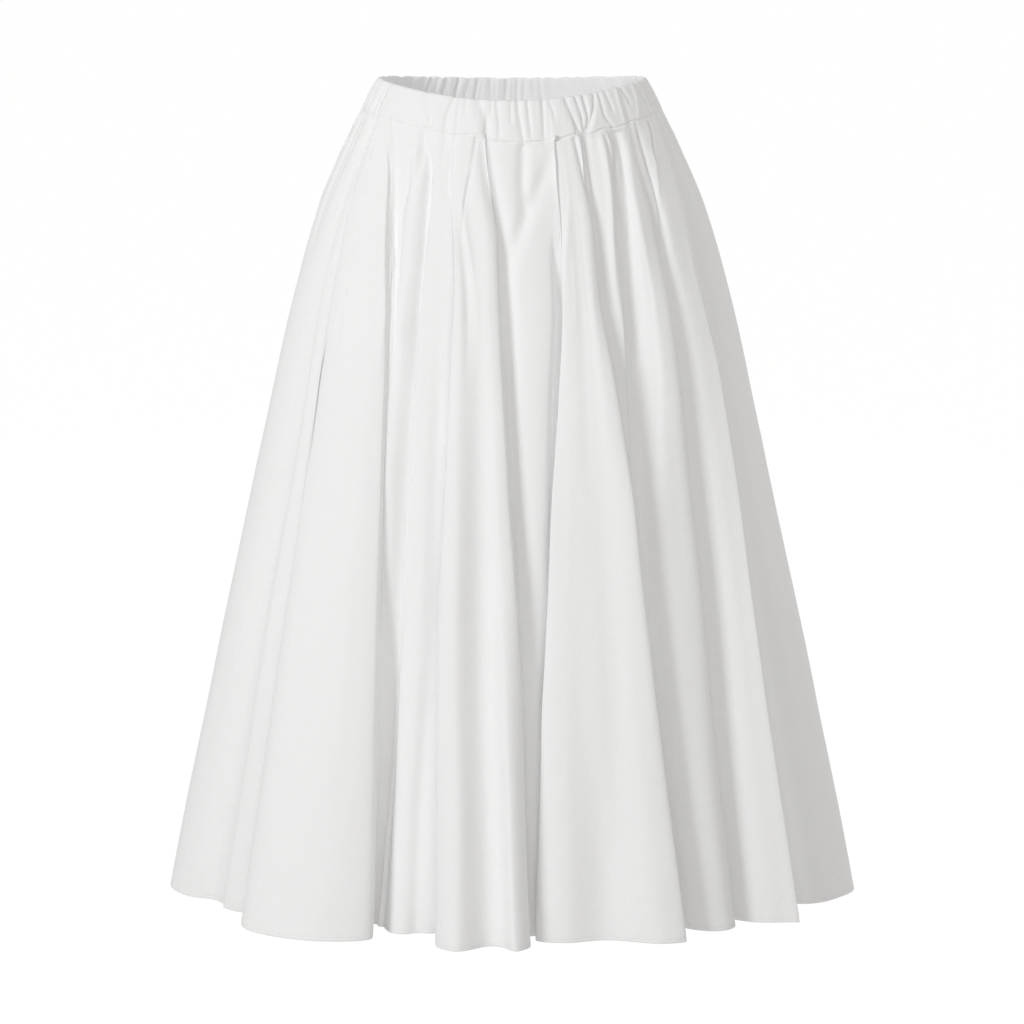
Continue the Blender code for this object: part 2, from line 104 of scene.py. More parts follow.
# How far the cloth lies to the right of the solids' folds at some places of the front, in millimetres at each
# of the drops
Sideways = namedtuple("Sideways", "fold share moves")
SIDEWAYS_DROPS = (0.040, 0.100, 0.170, 0.250, 0.360, 0.460, 0.560, 0.650, 0.750, 0.782)
SIDEWAYS = [Sideways(*row) for row in (
    ("left_panel", 0.8, (0, 0, 0, 0, 0, 0, 0, 0, 0, 0)),
    ("left_panel", 1.0, (0, 0, -1, -1, -3, -4, -4, -3, -1, -1)),
    ("left_recess", 0.0, (0, -3, -8, -10, -12, -12, -9, -5, -1, -1)),
    ("left_recess", 0.8, (0, -2, -6, -9, -9, -6, -2, 0, 0, 0)),
    ("left_recess", 1.0, (0, -3, -5, -7, -8, -6, -4, 0, 0, 0)),
    ("left_inner", 0.0, (0, -4, -7, -10, -11, -9, -7, -3, -1, 0)),
    ("left_inner", 1.0, (0, 0, 0, -3, -8, -11, -9, -6, -2, -1)),
    ("centre_left", 0.0, (0, 0, 0, -3, -8, -11, -8, -5, -2, -1)),
    ("centre_left", 0.2, (0, 0, 0, -1, -2, -3, -1, 3, 4, 4)),
    ("centre_left", 0.5, (0, 0, 1, 3, 3, 2, 3, 6, 7, 7)),
    ("centre_left", 1.0, (3, 7, 4, 4, 4, 6, 5, 2, 0, 0)),
    ("centre_recess", 0.8, (4, 13, 18, 14, 10, 6, -1, -5, -3, -2)),
    ("centre_recess", 1.0, (4, 15, 23, 19, 10, 4, -4, -6, -4, -2)),
    ("centre_right", 0.0, (0, 2, 5, 0, -6, -7, -9, -6, -4, -2)),
    ("centre_right", 1.0, (4, 4, 1, 5, 8, 6, 4, 3, 2, 1)),
    ("right_sliver", 1.0, (4, 12, 17, 13, 8, 6, 8, 8, 6, 4)),
    ("right_inner", 0.0, (6, 16, 23, 22, 8, 6, 4, 3, 3, 3)),
    ("right_inner", 1.0, (0, 6, 12, 13, 13, 11, 6, 2, 0, 0)),
    ("right_panel", 0.0, (0, 7, 13, 18, 18, 15, 11, 7, 3, 2)),
    ("right_panel", 0.8, (0, 0, -1, 6, 6, 1, -1, -1, 0, 0)),
    ("right_panel", 1.0, (0, 0, 0, 3, 3, 0, 0, 0, 0, 0)),
)]

# Creases of the panels, one row each. At its left and right the cloth is drawn in by a depth that fades over
# a width, and a depth below zero stands out. The power of the fading is about 1 for a sharp crease and 2 for
# a soft one. The path runs down the cloth through (angle, drop, strength).
Crease = namedtuple("Crease", "name left left_width right right_width power path")
FRONT_CREASES = [Crease(*row) for row in (
    ("left_edge", -0.0006, 0.004, 0.0034, 0.0050, 1.3, ((-49.9, 0.034, 0.0), (-46.8, 0.050, 0.7),
        (-44.0, 0.067, 1.0), (-40.8, 0.096, 0.9), (-37.8, 0.138, 0.8), (-34.7, 0.192, 0.5),
        (-33.4, 0.260, 0.0))),
    ("recess_edge", 0.0014, 0.0022, -0.0012, 0.0024, 1.3, ((-40.6, 0.080, 0.0), (-39.9, 0.093, 0.8),
        (-38.4, 0.117, 1.0), (-37.0, 0.141, 0.7), (-36.2, 0.165, 0.0))),
    ("recess_soft", 0.0018, 0.004, 0.0018, 0.004, 2.0, ((-39.4, 0.014, 0.2), (-39.1, 0.031, 0.7),
        (-36.2, 0.076, 1.0), (-37.5, 0.087, 0.8), (-38.9, 0.108, 0.0))),
    ("recess_ridge", -0.0018, 0.003, -0.0018, 0.003, 2.0, ((-34.9, 0.062, 0.0), (-34.9, 0.085, 0.7),
        (-34.7, 0.114, 1.0), (-33.9, 0.150, 1.0), (-33.8, 0.192, 0.7), (-33.2, 0.240, 0.0))),
    ("lens", 0.0028, 0.0040, 0.0028, 0.0030, 3.0, ((-36.2, 0.008, 0.9), (-34.8, 0.022, 1.0),
        (-33.3, 0.046, 0.9), (-33.0, 0.058, 0.5), (-32.9, 0.072, 0.0))),
    ("recess_fill", -0.0050, 0.0120, -0.0050, 0.0085, 2.0, ((-38.0, 0.018, 0.0), (-36.0, 0.032, 0.7),
        (-34.0, 0.050, 1.0), (-32.8, 0.070, 1.0), (-32.0, 0.113, 1.0), (-31.6, 0.169, 0.8),
        (-31.0, 0.240, 0.0))),
    ("inner_left", 0.0048, 0.0060, 0.0040, 0.0026, 1.7, ((-33.0, 0.014, 0.2), (-32.6, 0.028, 0.7),
        (-29.3, 0.045, 0.9), (-28.2, 0.061, 1.0), (-27.5, 0.084, 1.0), (-27.3, 0.113, 0.9),
        (-27.2, 0.169, 0.7), (-26.6, 0.210, 0.4), (-26.2, 0.280, 0.0))),
    ("wedge", 0.0022, 0.0030, 0.0022, 0.0022, 1.2, ((-25.8, 0.008, 1.0), (-25.5, 0.022, 0.8),
        (-25.2, 0.044, 0.0))),
    ("left_soft", 0.0016, 0.0030, 0.0016, 0.0030, 2.0, ((-22.0, 0.008, 0.4), (-21.9, 0.022, 1.0),
        (-21.0, 0.034, 0.7), (-20.4, 0.052, 0.0))),
    ("centre_left_edge", 0.0030, 0.0050, -0.0010, 0.0022, 1.4, ((-22.0, 0.044, 0.0), (-21.5, 0.058, 0.5),
        (-18.4, 0.085, 0.8), (-16.9, 0.111, 1.0), (-15.6, 0.150, 1.0), (-15.5, 0.180, 0.8),
        (-15.3, 0.250, 0.0))),
    ("thin_pleat", -0.0006, 0.0020, 0.0026, 0.0022, 1.0, ((-13.9, 0.008, 0.9), (-14.4, 0.043, 1.0),
        (-15.1, 0.070, 0.8), (-14.9, 0.093, 0.4), (-14.8, 0.108, 0.0))),
    ("branch", -0.0014, 0.0022, -0.0014, 0.0030, 1.5, ((-15.6, 0.070, 0.0), (-14.7, 0.087, 0.7),
        (-12.4, 0.114, 1.0), (-10.1, 0.150, 1.0), (-9.1, 0.177, 0.8), (-8.5, 0.240, 0.0))),
    ("branch_trough", 0.0022, 0.0040, 0.0022, 0.0030, 2.0, ((-15.6, 0.080, 0.0), (-14.4, 0.105, 0.8),
        (-13.4, 0.126, 1.0), (-11.9, 0.153, 1.0), (-11.2, 0.186, 0.7), (-10.7, 0.250, 0.0))),
    ("centre_valley", 0.0042, 0.0075, 0.0042, 0.0075, 2.0, ((-11.5, 0.008, 0.8), (-10.6, 0.022, 1.0),
        (-9.2, 0.040, 1.0), (-7.8, 0.055, 1.0), (-5.3, 0.076, 1.0), (-3.7, 0.093, 0.9), (-2.2, 0.123, 0.9),
        (-1.5, 0.150, 0.8), (-0.7, 0.183, 0.7), (-0.2, 0.270, 0.0))),
    ("middle_stripe", 0.0042, 0.0062, 0.0042, 0.0056, 2.0, ((4.3, 0.008, 0.9), (3.9, 0.034, 1.0),
        (3.6, 0.052, 1.0), (3.6, 0.076, 0.6), (4.0, 0.098, 0.0))),
    ("diagonal", 0.0036, 0.0080, 0.0036, 0.0080, 2.0, ((13.4, 0.020, 0.0), (11.4, 0.043, 0.8),
        (6.9, 0.064, 1.0), (2.4, 0.096, 1.0), (0.3, 0.114, 0.8), (-1.0, 0.140, 0.0))),
    ("right_bright_edge", -0.0014, 0.0024, -0.0014, 0.0050, 1.5, ((19.2, 0.030, 0.0), (18.7, 0.064, 0.6),
        (16.4, 0.099, 1.0), (14.7, 0.138, 1.0), (14.0, 0.177, 0.8), (13.8, 0.260, 0.0))),
    ("pair_left", 0.0034, 0.0034, 0.0034, 0.0022, 1.5, ((24.0, 0.008, 0.9), (24.8, 0.043, 1.0),
        (26.0, 0.087, 1.0), (25.5, 0.123, 0.9), (25.3, 0.141, 0.8), (25.9, 0.189, 0.6),
        (26.3, 0.270, 0.0))),
    ("pair_right", 0.0040, 0.0024, 0.0044, 0.0085, 1.4, ((28.7, 0.008, 0.8), (28.2, 0.025, 1.0),
        (27.7, 0.055, 1.0), (27.7, 0.082, 1.0), (28.0, 0.111, 0.8), (27.6, 0.150, 0.4),
        (27.4, 0.190, 0.0))),
    ("sliver_ridge", -0.0034, 0.0040, -0.0034, 0.0036, 2.0, ((35.2, 0.010, 0.4), (35.2, 0.029, 1.0),
        (34.4, 0.056, 1.0), (33.0, 0.084, 1.0), (31.6, 0.111, 0.9), (30.8, 0.150, 0.6), (31.2, 0.192, 0.4),
        (31.2, 0.250, 0.0))),
    ("pucker", -0.0018, 0.0018, -0.0018, 0.0018, 1.6, ((37.3, 0.008, 0.7), (39.1, 0.025, 1.0),
        (37.5, 0.046, 0.8), (36.8, 0.064, 0.0))),
    ("pucker_shade", 0.0026, 0.0026, 0.0026, 0.0030, 1.6, ((41.0, 0.014, 0.0), (40.2, 0.031, 0.8),
        (37.5, 0.055, 1.0), (36.7, 0.076, 0.7), (36.4, 0.104, 0.0))),
    ("right_inner_left", 0.0056, 0.0058, 0.0056, 0.0050, 1.8, ((43.2, 0.014, 0.5), (42.9, 0.031, 1.0),
        (40.9, 0.060, 1.0), (39.5, 0.087, 1.0), (38.2, 0.114, 1.0), (36.6, 0.173, 0.8),
        (36.2, 0.280, 0.0))),
    ("right_inner_ridge", -0.0018, 0.0040, -0.0018, 0.0050, 2.0, ((46.0, 0.016, 0.0), (45.5, 0.031, 0.6),
        (41.9, 0.064, 1.0), (41.0, 0.093, 1.0), (40.7, 0.141, 0.9), (40.8, 0.189, 0.6),
        (41.0, 0.270, 0.0))),
    ("right_inner_right", 0.0026, 0.0042, 0.0050, 0.0040, 1.5, ((53.9, 0.012, 0.3), (53.6, 0.025, 0.9),
        (53.0, 0.037, 1.0), (52.2, 0.066, 1.0), (51.8, 0.093, 1.0), (50.9, 0.122, 1.0), (49.8, 0.150, 0.9),
        (49.0, 0.190, 0.7), (48.6, 0.270, 0.0))),
    ("slit", 0.0040, 0.0012, 0.0040, 0.0012, 1.5, ((62.9, 0.010, 0.3), (62.5, 0.019, 1.0),
        (61.2, 0.028, 1.0), (58.5, 0.040, 0.8), (57.2, 0.050, 0.0))),
    ("slit_lips", -0.0011, 0.0036, -0.0011, 0.0036, 2.0, ((62.9, 0.008, 0.4), (62.5, 0.019, 1.0),
        (61.2, 0.028, 1.0), (58.5, 0.040, 0.9), (57.2, 0.056, 0.0))),
    ("left_inner_trough", 0.0048, 0.0090, 0.0048, 0.0120, 2.0, ((-20.0, 0.220, 0.0), (-18.6, 0.270, 0.6),
        (-18.3, 0.362, 1.0), (-17.6, 0.455, 1.0), (-18.0, 0.552, 1.0), (-19.0, 0.648, 1.0),
        (-19.0, 0.725, 1.0), (-19.0, 0.790, 1.3))),
    ("centre_left_trough", 0.0060, 0.0180, 0.0060, 0.0120, 2.0, ((-9.0, 0.163, 0.0), (-7.3, 0.258, 0.5),
        (-6.6, 0.352, 0.8), (-5.5, 0.447, 1.0), (-4.6, 0.542, 1.0), (-3.5, 0.639, 1.0), (-2.8, 0.716, 1.0),
        (-2.1, 0.790, 1.0))),
    ("centre_right_lip", -0.0015, 0.0100, 0.0050, 0.0055, 1.5, ((25.9, 0.170, 0.0), (26.4, 0.220, 0.8),
        (26.9, 0.260, 1.0), (27.0, 0.312, 1.0), (27.2, 0.376, 1.0), (27.6, 0.453, 1.0), (28.0, 0.560, 0.9),
        (28.8, 0.676, 0.6), (29.6, 0.790, 0.3))),
    ("sliver_edge", -0.0012, 0.0040, 0.0055, 0.0115, 1.8, ((33.4, 0.110, 0.0), (33.2, 0.134, 0.7),
        (32.4, 0.171, 1.0), (31.3, 0.265, 1.0), (30.3, 0.360, 0.7), (29.9, 0.430, 0.0))),
    ("slit_ridge", -0.0015, 0.0020, -0.0015, 0.0020, 1.5, ((58.0, 0.036, 0.0), (57.5, 0.046, 0.8),
        (53.8, 0.076, 1.0), (51.6, 0.099, 0.6), (50.8, 0.124, 0.0))),
)]

# The edges of the large folds, where the cloth steps back, and soft swells between them: each follows one
# place of a fold, draws the cloth in towards the middle of the oval, and has its strength at drops
Edge = namedtuple("Edge", "fold share left left_width right right_width power strengths")
FRONT_EDGES = [Edge(*row) for row in (
    ("left_panel", 1.0, -0.0010, 0.0060, 0.0040, 0.0050, 1.5, ((0.10, 0.0), (0.17, 0.6), (0.27, 1.0),
        (0.46, 1.0), (0.60, 0.8), (0.75, 0.4))),
    ("left_recess", 0.0, -0.0100, 0.0035, -0.0110, 0.0140, 1.5, ((0.13, 0.0), (0.20, 0.7), (0.27, 1.0),
        (0.42, 1.0), (0.52, 0.7), (0.65, 0.0))),
    ("left_recess", 0.2, -0.0060, 0.0050, -0.0060, 0.0090, 2.0, ((0.25, 0.0), (0.34, 1.0), (0.44, 1.0),
        (0.56, 0.0))),
    ("left_recess", 0.5, -0.0050, 0.0080, -0.0050, 0.0070, 2.0, ((0.14, 0.0), (0.20, 0.8), (0.42, 1.0),
        (0.54, 0.0))),
    ("left_recess", 0.2, -0.0070, 0.0090, -0.0070, 0.0140, 2.0, ((0.56, 0.0), (0.68, 1.0), (0.782, 1.0))),
    ("left_recess", 1.0, 0.0034, 0.0080, 0.0034, 0.0020, 1.5, ((0.10, 0.0), (0.20, 0.8), (0.50, 1.0),
        (0.65, 0.4), (0.75, 0.0))),
    ("left_inner", 0.0, -0.0002, 0.0030, -0.0012, 0.0050, 1.5, ((0.10, 0.0), (0.20, 0.8), (0.50, 1.0),
        (0.65, 0.4), (0.75, 0.0))),
    ("left_inner", 1.0, 0.0042, 0.0080, 0.0042, 0.0040, 1.5, ((0.12, 0.0), (0.20, 0.7), (0.50, 1.0),
        (0.782, 0.5))),
    ("centre_left", 0.0, -0.0002, 0.0030, -0.0010, 0.0050, 1.5, ((0.15, 0.0), (0.25, 0.8), (0.50, 1.0),
        (0.782, 0.5))),
    ("centre_left", 1.0, -0.0010, 0.0060, 0.0040, 0.0120, 1.5, ((0.16, 0.0), (0.25, 0.7), (0.45, 1.0),
        (0.782, 0.6))),
    ("centre_left", 0.8, -0.0075, 0.0160, -0.0075, 0.0120, 2.0, ((0.42, 0.0), (0.56, 0.8), (0.782, 1.0))),
    ("centre_recess", 0.5, 0.0040, 0.0160, 0.0040, 0.0160, 2.0, ((0.40, 0.0), (0.55, 1.0), (0.70, 0.6),
        (0.782, 0.0))),
    ("centre_recess", 1.0, 0.0060, 0.0085, 0.0060, 0.0030, 1.2, ((0.08, 0.0), (0.16, 0.8), (0.25, 1.0),
        (0.46, 1.0), (0.56, 0.4), (0.66, 0.0))),
    ("centre_recess", 0.8, 0.0190, 0.0032, 0.0190, 0.0120, 1.7, ((0.10, 0.0), (0.16, 0.7), (0.22, 1.0),
        (0.38, 1.0), (0.48, 0.4), (0.58, 0.0))),
    ("centre_recess", 1.0, -0.0140, 0.0150, -0.0140, 0.0050, 1.5, ((0.54, 0.0), (0.68, 1.0), (0.782, 1.0))),
    ("centre_right", 0.0, -0.0002, 0.0030, -0.0012, 0.0030, 1.2, ((0.08, 0.0), (0.16, 0.8), (0.46, 1.0),
        (0.66, 0.0))),
    ("centre_right", 0.0, -0.0026, 0.0090, 0.0024, 0.0048, 1.2, ((0.010, 0.8), (0.03, 1.0), (0.07, 1.0),
        (0.11, 0.8), (0.15, 0.4), (0.19, 0.0))),
    ("centre_right", 0.5, -0.0062, 0.0170, -0.0062, 0.0150, 2.0, ((0.05, 0.0), (0.15, 0.7), (0.36, 1.0),
        (0.56, 1.0), (0.72, 0.0))),
    ("centre_right", 1.0, -0.0120, 0.0190, -0.0020, 0.0040, 1.6, ((0.17, 0.0), (0.25, 0.6), (0.36, 1.0),
        (0.782, 0.7))),
    ("right_inner", 0.8, -0.0038, 0.0120, -0.0038, 0.0070, 2.0, ((0.12, 0.0), (0.20, 0.8), (0.27, 1.0),
        (0.42, 1.0), (0.60, 0.4), (0.75, 0.0))),
    ("right_inner", 1.0, -0.0015, 0.0100, 0.0045, 0.0100, 1.5, ((0.10, 0.0), (0.18, 1.0), (0.50, 1.0),
        (0.70, 0.6), (0.782, 0.3))),
    ("right_panel", 0.8, -0.0060, 0.0180, 0.0020, 0.0080, 1.5, ((0.12, 0.0), (0.25, 0.8), (0.42, 1.0),
        (0.782, 0.8))),
)]

# Unevenness that follows a rule: the share and the start of its slow and its fast wave, and how quickly they
# run for each kind of it from one pleat or gather to the next
UNEVEN_WAVES = ((0.65, 0.6), (0.35, 1.9))
WANDERS = {
    "place": (2.3, 5.1), "lean": (3.7, 1.3), "depth": (1.7, 2.9), "width": (2.9, 1.1), "sharp": (1.1, 3.3),
    "pleat_end": (1.9, 4.3), "gather_start": (4.1, 1.7), "gather_end": (1.3, 2.1),
    "inside_place": (2.9, 4.7), "inside_lean": (3.1, 1.3), "inside_depth": (1.9, 2.7),
}

# Small pleats under the band at the back. Their path goes through shares of the lean and of the end, with a
# strength. Their two kinds have shares of the depth and the width at the left and the right, and a power.
BACK_PLEATS = 34
BACK_PLEAT_START = (0.004, 0.9)
BACK_PLEAT_END = 0.120
BACK_PLEAT_END_VARIES = 0.070
BACK_PLEAT_DEPTH = 0.0030
BACK_PLEAT_WIDTH = 0.0044
BACK_PLEAT_VARIES = 0.45
BACK_PLEAT_WANDERS = 3.0
BACK_PLEAT_PATH = ((0.3, 0.35, 1.0), (0.6, 0.70, 0.8), (1.0, 1.30, 0.0))
SHARP_PLEAT = (-0.3, 1.0, 1.0, 1.0, 1.3)
SOFT_PLEAT = (1.0, 1.0, 1.0, 1.4, 2.0)

# How far the seam under the band lies above its smooth line at the front: angle and height
SEAM_LIFTS = (
    (-60, 0.0015), (-40, 0.0020), (-34, 0.0025), (-23, 0.0015), (-13, 0.0050), (-8, -0.0010), (3, -0.0020),
    (12, -0.0020), (18, -0.0015), (23, 0.0015), (30, -0.0020), (34, -0.0007), (37, 0.0010), (45, -0.0016),
    (53, 0.0), (63, -0.0015), (72, 0.0),
)

# Gathers of the band at the front, one row each. Depth is how far the cloth is drawn in, or below zero how
# far it stands out. The path runs from the top edge to the seam through (angle, share of the way down).
Gather = namedtuple("Gather", "depth left_width right_width path")
BAND_GATHERS = [Gather(*row) for row in (
    (0.0026, 0.0030, 0.0020, ((-39.0, 0.0), (-38.5, 0.2), (-34.5, 0.6), (-33.0, 0.8), (-34.5, 1.0))),
    (0.0024, 0.0024, 0.0034, ((-25.0, 0.0), (-26.0, 0.3), (-27.0, 0.55), (-26.5, 1.0))),
    (0.0016, 0.0016, 0.0016, ((-22.5, 0.0), (-22.0, 0.45), (-21.5, 1.0))),
    (0.0012, 0.0018, 0.0018, ((-19.5, 0.05), (-19.0, 0.3))),
    (0.0022, 0.0044, 0.0044, ((-14.5, 0.0), (-12.0, 0.3), (-10.0, 0.7), (-9.5, 1.0))),
    (0.0010, 0.0016, 0.0016, ((-8.5, 0.0), (-8.5, 0.25))),
    (0.0015, 0.0020, 0.0020, ((-6.5, 0.0), (-5.0, 0.6), (-5.0, 1.0))),
    (0.0012, 0.0018, 0.0018, ((-0.5, 0.0), (-0.5, 0.4))),
    (0.0026, 0.0024, 0.0020, ((2.5, 0.0), (3.0, 0.35), (4.5, 1.0))),
    (0.0014, 0.0018, 0.0018, ((6.5, 0.0), (7.0, 0.4), (7.5, 0.8))),
    (0.0018, 0.0022, 0.0022, ((13.0, 0.0), (12.5, 1.0))),
    (0.0012, 0.0016, 0.0020, ((15.5, 0.0), (17.0, 0.35))),
    (0.0020, 0.0022, 0.0022, ((23.0, 0.0), (24.5, 0.5), (26.5, 0.9), (28.0, 1.0))),
    (0.0018, 0.0016, 0.0016, ((27.5, 0.0), (29.0, 0.5), (29.0, 1.0))),
    (0.0024, 0.0018, 0.0018, ((31.5, 0.0), (32.0, 0.55), (29.5, 1.0))),
    (0.0025, 0.0022, 0.0018, ((37.0, 0.0), (35.5, 0.35), (32.0, 0.8), (30.0, 1.0))),
    (0.0017, 0.0020, 0.0020, ((39.5, 0.0), (39.5, 0.65), (42.0, 1.0))),
    (0.0013, 0.0020, 0.0020, ((43.0, 0.0), (44.0, 0.4))),
    (-0.0014, 0.0026, 0.0026, ((49.0, 0.0), (48.5, 0.4), (48.0, 1.0))),
    (0.0016, 0.0022, 0.0022, ((53.5, 0.05), (55.0, 0.4))),
    (-0.0014, 0.0026, 0.0026, ((61.5, 0.0), (60.5, 0.4), (56.5, 1.0))),
    (0.0014, 0.0024, 0.0024, ((66.0, 0.1), (67.0, 0.9))),
)]
# Those inside the band: the angle and depth of the ones that show over the front, and a rule for others
INSIDE_GATHERS = (
    (128.5, 0.0011), (136.0, 0.0009), (143.5, 0.0013), (146.5, 0.0009), (151.0, 0.0010), (159.5, 0.0011),
    (167.0, 0.0018), (170.5, 0.0011), (174.5, 0.0010), (177.5, 0.0019), (182.0, 0.0010), (189.5, 0.0013),
    (195.0, 0.0015), (199.5, 0.0011), (204.0, 0.0021), (210.5, 0.0015), (218.5, 0.0020), (229.0, 0.0016),
)
INSIDE_LEAN = 0.8
INSIDE_WIDTH = 0.0022
INSIDE_SPACING = 5.2
INSIDE_WANDERS = 1.4
INSIDE_SMALL_DEPTH = 0.0005
INSIDE_SMALL_VARIES = 0.6
INSIDE_SMALL_WIDTH = 0.0018
# Those of the outer face at the back. Where its wandering number is low, a gather starts late or ends early.
BACK_GATHERS = 46
BACK_GATHER_DEPTH = 0.0017
BACK_GATHER_WIDTH = 0.0024
BACK_GATHER_VARIES = 0.50
BACK_GATHER_WANDERS = 2.6
BACK_GATHER_LEANS = 2.2
LATE_BELOW, LATE_START = -0.45, 0.45
EARLY_BELOW, EARLY_END = -0.35, 0.5
MOST_GATHERED = 0.0029
GATHER_POWER = 1.6
GATHER_FADE = 0.2
GATHER_REACHES = 0.25

# The band's casing: its thickness between the two faces, the swell of its face, how its edges turn, and how
# much its inner face follows the gathers of its top and the small waves
CASING = 0.0036
BAND_SWELL = 0.0008
TOP_ROUND = 0.0017
SCALLOP = 0.42
SEAM_KEEPS = 0.5
SEAM_CALMS = 0.006
INNER_FOLLOWS = 0.35
INNER_WAVES = 0.6
INNER_START = 0.1

# The seam under the band: a groove with a lip above it, how strongly it shows at angles round the front, and
# how the cloth below it leaves it
SEAM_GROOVE = 0.0009
SEAM_GROOVE_HALF = 0.0009
SEAM_LIP = 0.0003
SEAM_LIP_UP = 0.0019
SEAM_SHOWS = ((-64, 0.30), (-43, 0.30), (-36, 0.75), (-20, 0.60), (-8, 1.0), (70, 1.0), (73, 0.5))
SEAM_SHOWS_BEHIND = 0.5
SEAM_UNDER = 0.0014
PLEATS_OPEN = 0.005
GATHERS_FADE = 0.009
SEAM_PUCKERS_END = 0.030

# Half of the gap of each side seam at its widest, and the drops where it starts to close and has closed
SideGap = namedtuple("SideGap", "widest from_drop to_drop")
LEFT_GAP = SideGap(0.00028, 0.045, 0.075)
RIGHT_GAP = SideGap(0.00052, 0.190, 0.260)
CLOSED_GAP = 0.00008
SEAM_DIP_FOR_GAP = 4.6
SEAM_DIP_WIDTH = 0.0022

# The panels' edges: the rows tucked under the band as shares of the two tucks, and the turned hem's rows as
# degrees round its fold and shares of the way up inside it
TUCK_UP = 0.0040
TUCK_IN = 0.0016
TUCK_ROWS = ((1.0, 1.0), (0.5, 0.9), (0.12, 0.55))
ALLOWANCE_STEPS = (0.0006, 0.0020, 0.0040, 0.0065)
HEM_FOLD = 0.0009
HEM_UP = 0.0090
HEM_TURNS = (30, 60, 90, 120, 150, 180)
HEM_RISES = (0.33, 0.66, 1.0)
HEM_STITCH_UP = 0.0038
HEM_STITCH_DRAW = 0.00018
HEM_STITCH_HALF = 0.0011
HEM_PUCKER_HALF = 0.006
HEM_CALM = 0.02

# How finely the cloth is divided: steps along the hem and the waist, and rows down a panel and the band
Steps = namedtuple("Steps", "hem waist")
FRONT_STEPS = Steps(0.0027, 0.00090)
BACK_STEPS = Steps(0.0052, 0.00125)
LEAST_STEPS = 4
PANEL_ROWS = 146
ROW_SPREAD = 1.35
HEM_BAND = 0.011
HEM_ROWS = 9
CROWDING = 1.7
# Over how many neighbours on each side the sideways moves and the creases' paths and strengths are smoothed
MOVES_ROUND = 3
MOVES_DOWN = 5
PATH_SMOOTH = 4
STRENGTH_SMOOTH = 3
# How sharp the middle of a step is in the cloth: at the edges of folds, and in creases by their drop
EDGE_SHARPEST = 0.0010
SHARPEST_DOWN = ((0.140, 0.400, 0.782), (0.0009, 0.0018, 0.0024))
BAND_STEP = 0.00062
BAND_SEAM_RISES = (0.0, 0.0004, 0.0008, 0.0012, 0.0017, 0.0023, 0.0031, 0.0042)
BAND_FACE_START = 0.0055
BAND_FACE_ROWS = 24
BAND_ROUND_ROWS = 7
BAND_INSIDE_ROWS = 16
BAND_END_TURN = 0.25

# Unevenness of the cloth: size along the cloth, size down it, and depth. A panel's waves start at its top
# with a share of their depth and grow down it. Each kind of wave has a layer of the noise of its own.
Wave = namedtuple("Wave", "across down depth")
PANEL_WAVES = (Wave(0.055, 0.240, 0.0011), Wave(0.019, 0.090, 0.00035), Wave(0.024, 0.030, 0.00016))
BAND_WAVES = (Wave(0.0060, 0.040, 0.00050), Wave(0.0028, 0.020, 0.00022))
SEAM_PUCKERS = (Wave(0.0075, 0.030, 0.0005),)
HEM_PUCKERS = (Wave(0.011, 0.020, 0.0004),)
WAVES_START = 0.25
WAVES_GROW = 0.10
WAVE_LAYER = 7.3
INNER_LAYER = 20.0
HEM_LAYER = 40.0
SEAM_LAYER = 60.0

# Stitches: their sizes, and the rings of points along each as shares of its length and width
STITCH_LENGTH = 0.0021
STITCH_STEP = 0.0028
STITCH_WIDTH = 0.00042
STITCH_RISE = 0.00016
STITCH_SIDES = 5
STITCH_RINGS = ((-0.34, 0.85), (0.0, 1.0), (0.34, 0.85))
STITCH_AHEAD = 0.3

# The cloth's cut before it was sewn: each panel's width at its top and its hem and its length with the
# allowances, and each band piece's length and height
FRONT_CUT = (0.41, 1.13)
BACK_CUT = (0.57, 2.23)
BAND_CUTS = (0.38, 0.53)

# Colours and finish. Slubs, clouds and crumples have a scale along each way of the cloth. The bumps of its
# threads, slubs and crumples have a strength and a distance.
COTTON_LIGHT = (0.948, 0.950, 0.953, 1.0)
COTTON_DARK = (0.925, 0.924, 0.921, 1.0)
SHADE_FROM, SHADE_TO = 0.47, 0.93
COTTON_FINISH = {"Roughness": 0.86, "Sheen Weight": 0.12, "Sheen Roughness": 0.5, "Specular IOR Level": 0.25}
THREAD_LIGHT = (0.90, 0.90, 0.90, 1.0)
THREAD_DARK = (0.84, 0.84, 0.84, 1.0)
THREAD_ROUGHNESS = 0.7
THREAD_TWIST = 2600.0
THREAD_PITCH = 0.00052
WEAVE = {"Scale": math.pi / (10 * THREAD_PITCH), "Distortion": 0.6, "Detail": 1.0, "Detail Scale": 0.4}
WARP_SLUBS = (900.0, 22.0, 1.0)
WEFT_SLUBS = (22.0, 900.0, 1.0)
SLUB_DETAIL = 2.0
CLOUDS = (14.0, 9.0, 14.0)
CRUMPLES = (95.0, 60.0, 95.0)
CLOUD_DETAIL = 3.0
NOISE_ROUGHNESS = 0.6
CLOUD_SHARE = 0.8
BUMPS = ((0.25, 0.00012), (0.45, 0.00022), (0.5, 0.0008))

